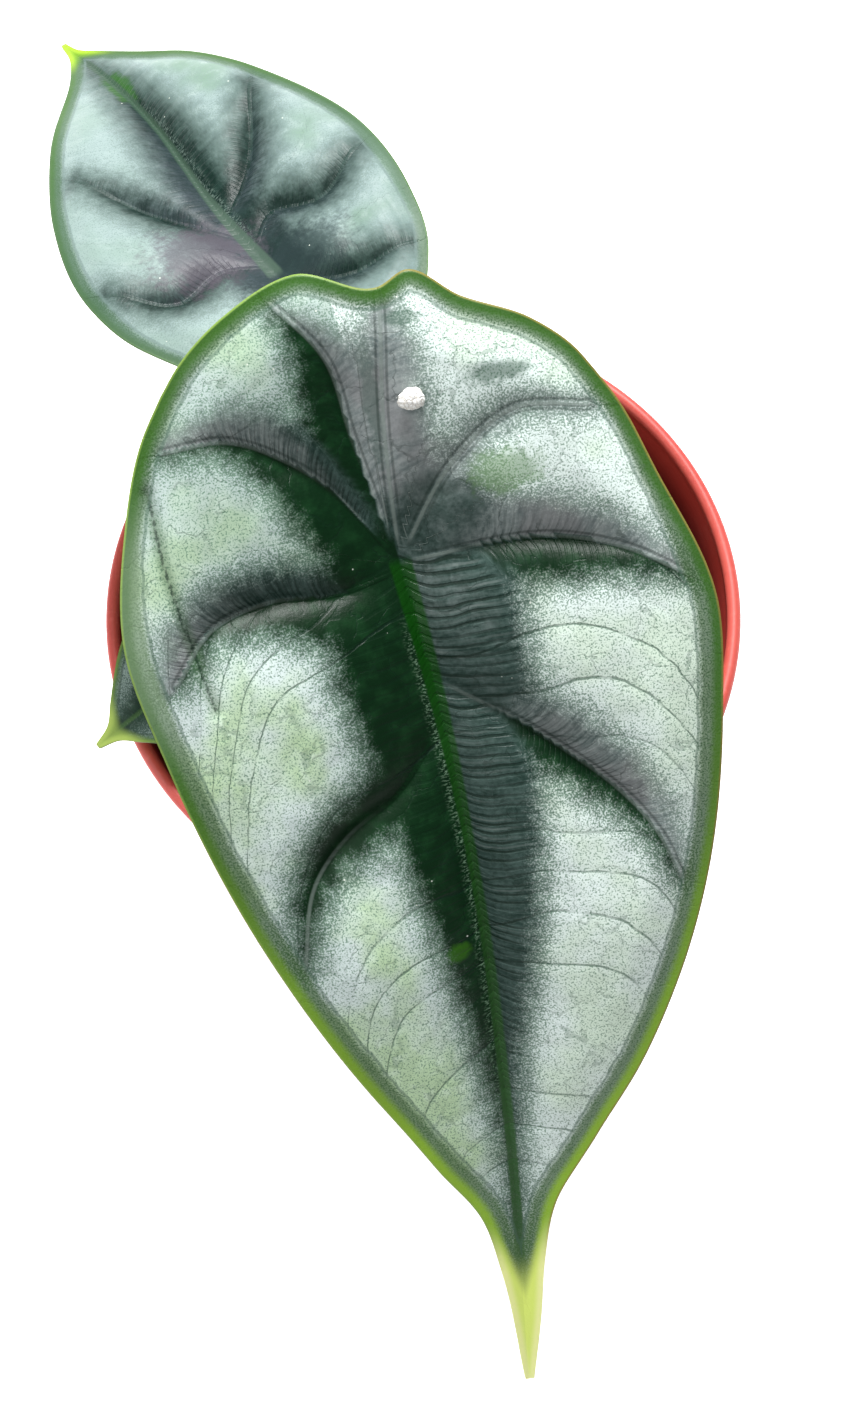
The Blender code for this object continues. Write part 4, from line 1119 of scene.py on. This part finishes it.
def build_soil():
    """A rough bed and a thousand crumbs on it as one mesh."""
    edge_radius = COLLAR_FOOT - WALL - 0.0002
    rings, sides = 60, 150
    r = np.linspace(0.0012, edge_radius, rings)
    angle = np.linspace(0, math.tau, sides, endpoint=False)
    points = []
    for k, radius in enumerate(r):
        for a in angle:
            x, y = radius * math.cos(a), radius * math.sin(a)
            rough = noise.noise(Vector((x * 700, y * 700, 3.0))) * 0.0004
            rough += noise.noise(Vector((x * 1500, y * 1500, 4.0))) * 0.0002
            points.append((x, y, soil_height(x, y) + rough - 0.0002))
    foot = [(radius * math.cos(a), radius * math.sin(a), z)
            for radius, z in ((BODY_TOP - WALL - 0.0004, COLLAR_Z - 0.0020),
                              (POT_BASE - WALL, FLOOR + 0.0018),
                              (POT_BASE - WALL - 0.0016, FLOOR + 0.0003), (0.001, FLOOR + 0.0003))
            for a in angle]
    points = np.array(points + foot)
    faces = [tuple(q) for q in grid_quads(sides, rings + 4, wrap=True)]
    faces.append(tuple(range(sides)))
    faces.append(tuple(range((rings + 3) * sides, (rings + 4) * sides)))
    tone = [0.12] * len(points)
    shapes = crumb_shapes(9)
    blocks, start = [points], len(points)
    for k in range(CRUMBS):
        radius = edge_radius * 0.985 * math.sqrt(RNG.uniform(0.03, 1.0))
        a = RNG.uniform(0, math.tau)
        x, y = radius * math.cos(a), radius * math.sin(a)
        size = 0.00045 + 0.0011 * RNG.uniform() ** 2.6
        shape, tris = shapes[int(RNG.integers(len(shapes)))]
        spin = RNG.uniform(0, math.tau)
        c, s = math.cos(spin), math.sin(spin)
        stretch = np.array([RNG.uniform(0.8, 1.5), RNG.uniform(0.7, 1.1), RNG.uniform(0.5, 0.9)]) * size
        local = shape * stretch
        turned_x = c * local[:, 0] - s * local[:, 1]
        turned_y = s * local[:, 0] + c * local[:, 1]
        turned_points = np.stack([turned_x, turned_y, local[:, 2]], 1)
        shade = RNG.uniform() ** 2
        if math.hypot(x, y) < CROWN_RADIUS + 0.0016 or radius + size * 1.5 > edge_radius:
            continue
        blocks.append(turned_points + np.array([x, y, soil_height(x, y) + size * 0.15]))
        faces.extend(tuple(f + start) for f in tris)
        tone.extend([shade] * len(shape))
        start += len(shape)
    data = bpy.data.meshes.new("fine_soil")
    data.from_pydata([tuple(p) for p in np.concatenate(blocks)], [], faces)
    data.update()
    data.shade_smooth()
    vector_attribute(data, "tone", np.stack([tone, tone, tone], 1))
    show("fine_soil", data, soil_material(), "potting_soil", "soil")


# ---- loose pieces and the stem base ----------------------------------------------------------
def refined(node, cuts, rough, size, seed):
    """The CAD node's own shape, split finer and roughened along its normals."""
    bm = bmesh.new()
    bm.from_mesh(NODES[node].data)
    bmesh.ops.remove_doubles(bm, verts=bm.verts, dist=1e-6)
    bmesh.ops.dissolve_limit(bm, angle_limit=math.radians(1), verts=bm.verts, edges=bm.edges)
    bmesh.ops.triangulate(bm, faces=bm.faces)
    for _ in range(cuts):
        bmesh.ops.subdivide_edges(bm, edges=bm.edges[:], cuts=1, smooth=0.55)
        bmesh.ops.triangulate(bm, faces=bm.faces)
    bm.normal_update()
    for v in bm.verts:
        lump = noise.noise(v.co / size + Vector((seed, seed * 0.7, 0.0)))
        pit = noise.noise(v.co / (size * 0.36) + Vector((0.0, seed, seed)))
        v.co += v.normal * rough * (0.7 * lump + 0.5 * pit)
    bmesh.ops.recalc_face_normals(bm, faces=bm.faces)
    data = bpy.data.meshes.new("fine_" + node)
    bm.to_mesh(data)
    bm.free()
    data.shade_smooth()
    return data


def perlite_material():
    g = Graph("perlite_skin", 0.85)
    place = g.object_place()
    pit = g.cells(place, 1700.0)
    fine = g.noise(place, 2600.0, 3.0, 0.6)
    colour = g.mix(g.step(pit, 0.02, 0.20), srgb(232, 228, 220), srgb(252, 251, 248))
    colour = g.mix(g.mul(g.step(fine, 0.60, 0.75), 0.35), colour, srgb(190, 176, 156))
    return g.finish(colour, 0.85, g.bump(g.add(g.step(pit, 0.0, 0.25), fine), 0.00012, 0.7))


def bark_material():
    g = Graph("bark_fibre", 0.85)
    place = g.object_place()
    fine = g.noise(place, 900.0, 4.0, 0.65)
    broad = g.noise(place, 140.0, 2.0, 0.5)
    colour = g.mix(g.step(fine, 0.35, 0.68), srgb(86, 52, 34), srgb(150, 104, 70))
    colour = g.mix(g.mul(g.step(broad, 0.45, 0.6), 0.6), colour, srgb(176, 134, 96))
    return g.finish(colour, 0.85, g.bump(fine, 0.0004, 0.9))


def stem_material():
    g = Graph("stem_skin", 0.75)
    place = g.object_place()
    split = g.node("ShaderNodeSeparateXYZ")
    g.tree.links.new(place, split.inputs[0])
    ring = g.noise(g.vector(g.mul(split.outputs[0], 120.0), g.mul(split.outputs[1], 120.0),
                            g.mul(split.outputs[2], 1500.0)), 1.0, 3.0, 0.6)
    fine = g.noise(place, 1100.0, 3.0, 0.6)
    colour = g.mix(g.step(ring, 0.35, 0.65), srgb(84, 60, 40), srgb(142, 112, 78))
    colour = g.mix(g.mul(g.step(fine, 0.5, 0.7), 0.5), colour, srgb(60, 44, 30))
    return g.finish(colour, 0.75, g.bump(g.add(ring, g.mul(fine, 0.5)), 0.0005, 0.9))


def loose_pieces():
    white, brown = perlite_material(), bark_material()
    for k, node in enumerate(sorted(n for n in NODES if n.startswith("perlite_"))):
        show("fine_" + node, refined(node, 2, 0.00022, 0.0007, k * 1.3), white, "perlite", node)
    for k, node in enumerate(sorted(n for n in NODES if n.startswith("bark_chip_"))):
        show("fine_" + node, refined(node, 2, 0.00020, 0.0009, k * 2.1), brown, "bark", node)
    crumb = refined("leaf_crumb", 2, 0.00024, 0.0008, 4.4)
    show("fine_leaf_crumb", crumb, white, "perlite", "leaf_crumb")
    stem = refined("stem_base", 1, 0.00030, 0.0016, 8.8)
    show("fine_stem_base", stem, stem_material(), "stem_bark", "stem_base")


# ---- studio ----------------------------------------------------------------------------------
def floor():
    g = Graph("pale_floor", 0.9)
    g.finish((0.93, 0.93, 0.93))
    g.put(g.shader.inputs["Emission Color"], (1.0, 1.0, 1.0))
    g.put(g.shader.inputs["Emission Strength"], 0.75)
    bm = bmesh.new()
    bmesh.ops.create_grid(bm, x_segments=1, y_segments=1, size=3.0)
    data = bpy.data.meshes.new("floor")
    bm.to_mesh(data)
    bm.free()
    data.materials.append(g.material)
    made = bpy.data.objects.new("floor", data)
    made.location.z = -0.0002
    bpy.context.scene.collection.objects.link(made)


def soft_light(name, azimuth, elevation, distance, size, power, aim):
    light = bpy.data.lights.new(name, "AREA")
    light.shape = "SQUARE"
    light.size = size
    light.energy = power
    a, e = math.radians(azimuth), math.radians(elevation)
    away = Vector((math.sin(a) * math.cos(e), -math.cos(a) * math.cos(e), math.sin(e)))
    made = bpy.data.objects.new(name, light)
    made.location = aim + away * distance
    made.rotation_mode = "QUATERNION"
    made.rotation_quaternion = away.to_track_quat("Z", "Y")
    bpy.context.scene.collection.objects.link(made)


def studio():
    world = bpy.data.worlds.new("studio")
    world.use_nodes = True
    world.node_tree.nodes["Background"].inputs["Color"].default_value = (1.0, 1.0, 1.0, 1.0)
    world.node_tree.nodes["Background"].inputs["Strength"].default_value = 0.29
    bpy.context.scene.world = world
    aim = Vector((0.0, -0.02, POT_HEIGHT + 0.05))
    soft_light("key", 178, 49, 0.9, 0.24, 13.5, aim)
    soft_light("front", -70, 42, 0.9, 0.75, 4.2, aim)
    scene = bpy.context.scene
    scene.view_settings.view_transform = "Standard"


def camera():
    """Looks down on the plant from the front, close enough for strong perspective."""
    distance, elevation, pitch = 0.340, math.radians(67.5), math.radians(70.2)
    data = bpy.data.cameras.new("camera")
    data.sensor_width = 36.0
    data.lens = 54.17
    data.clip_start = 0.01
    made = bpy.data.objects.new("camera", data)
    made.location = (0.0005, -distance * math.cos(elevation), POT_HEIGHT + distance * math.sin(elevation))
    made.rotation_euler = (math.pi / 2 - pitch, 0.0, 0.0)
    bpy.context.scene.collection.objects.link(made)
    bpy.context.scene.camera = made


# ---- the scene -------------------------------------------------------------------------------
blades()
stalks()
build_pot()
build_soil()
loose_pieces()
floor()
studio()
camera()
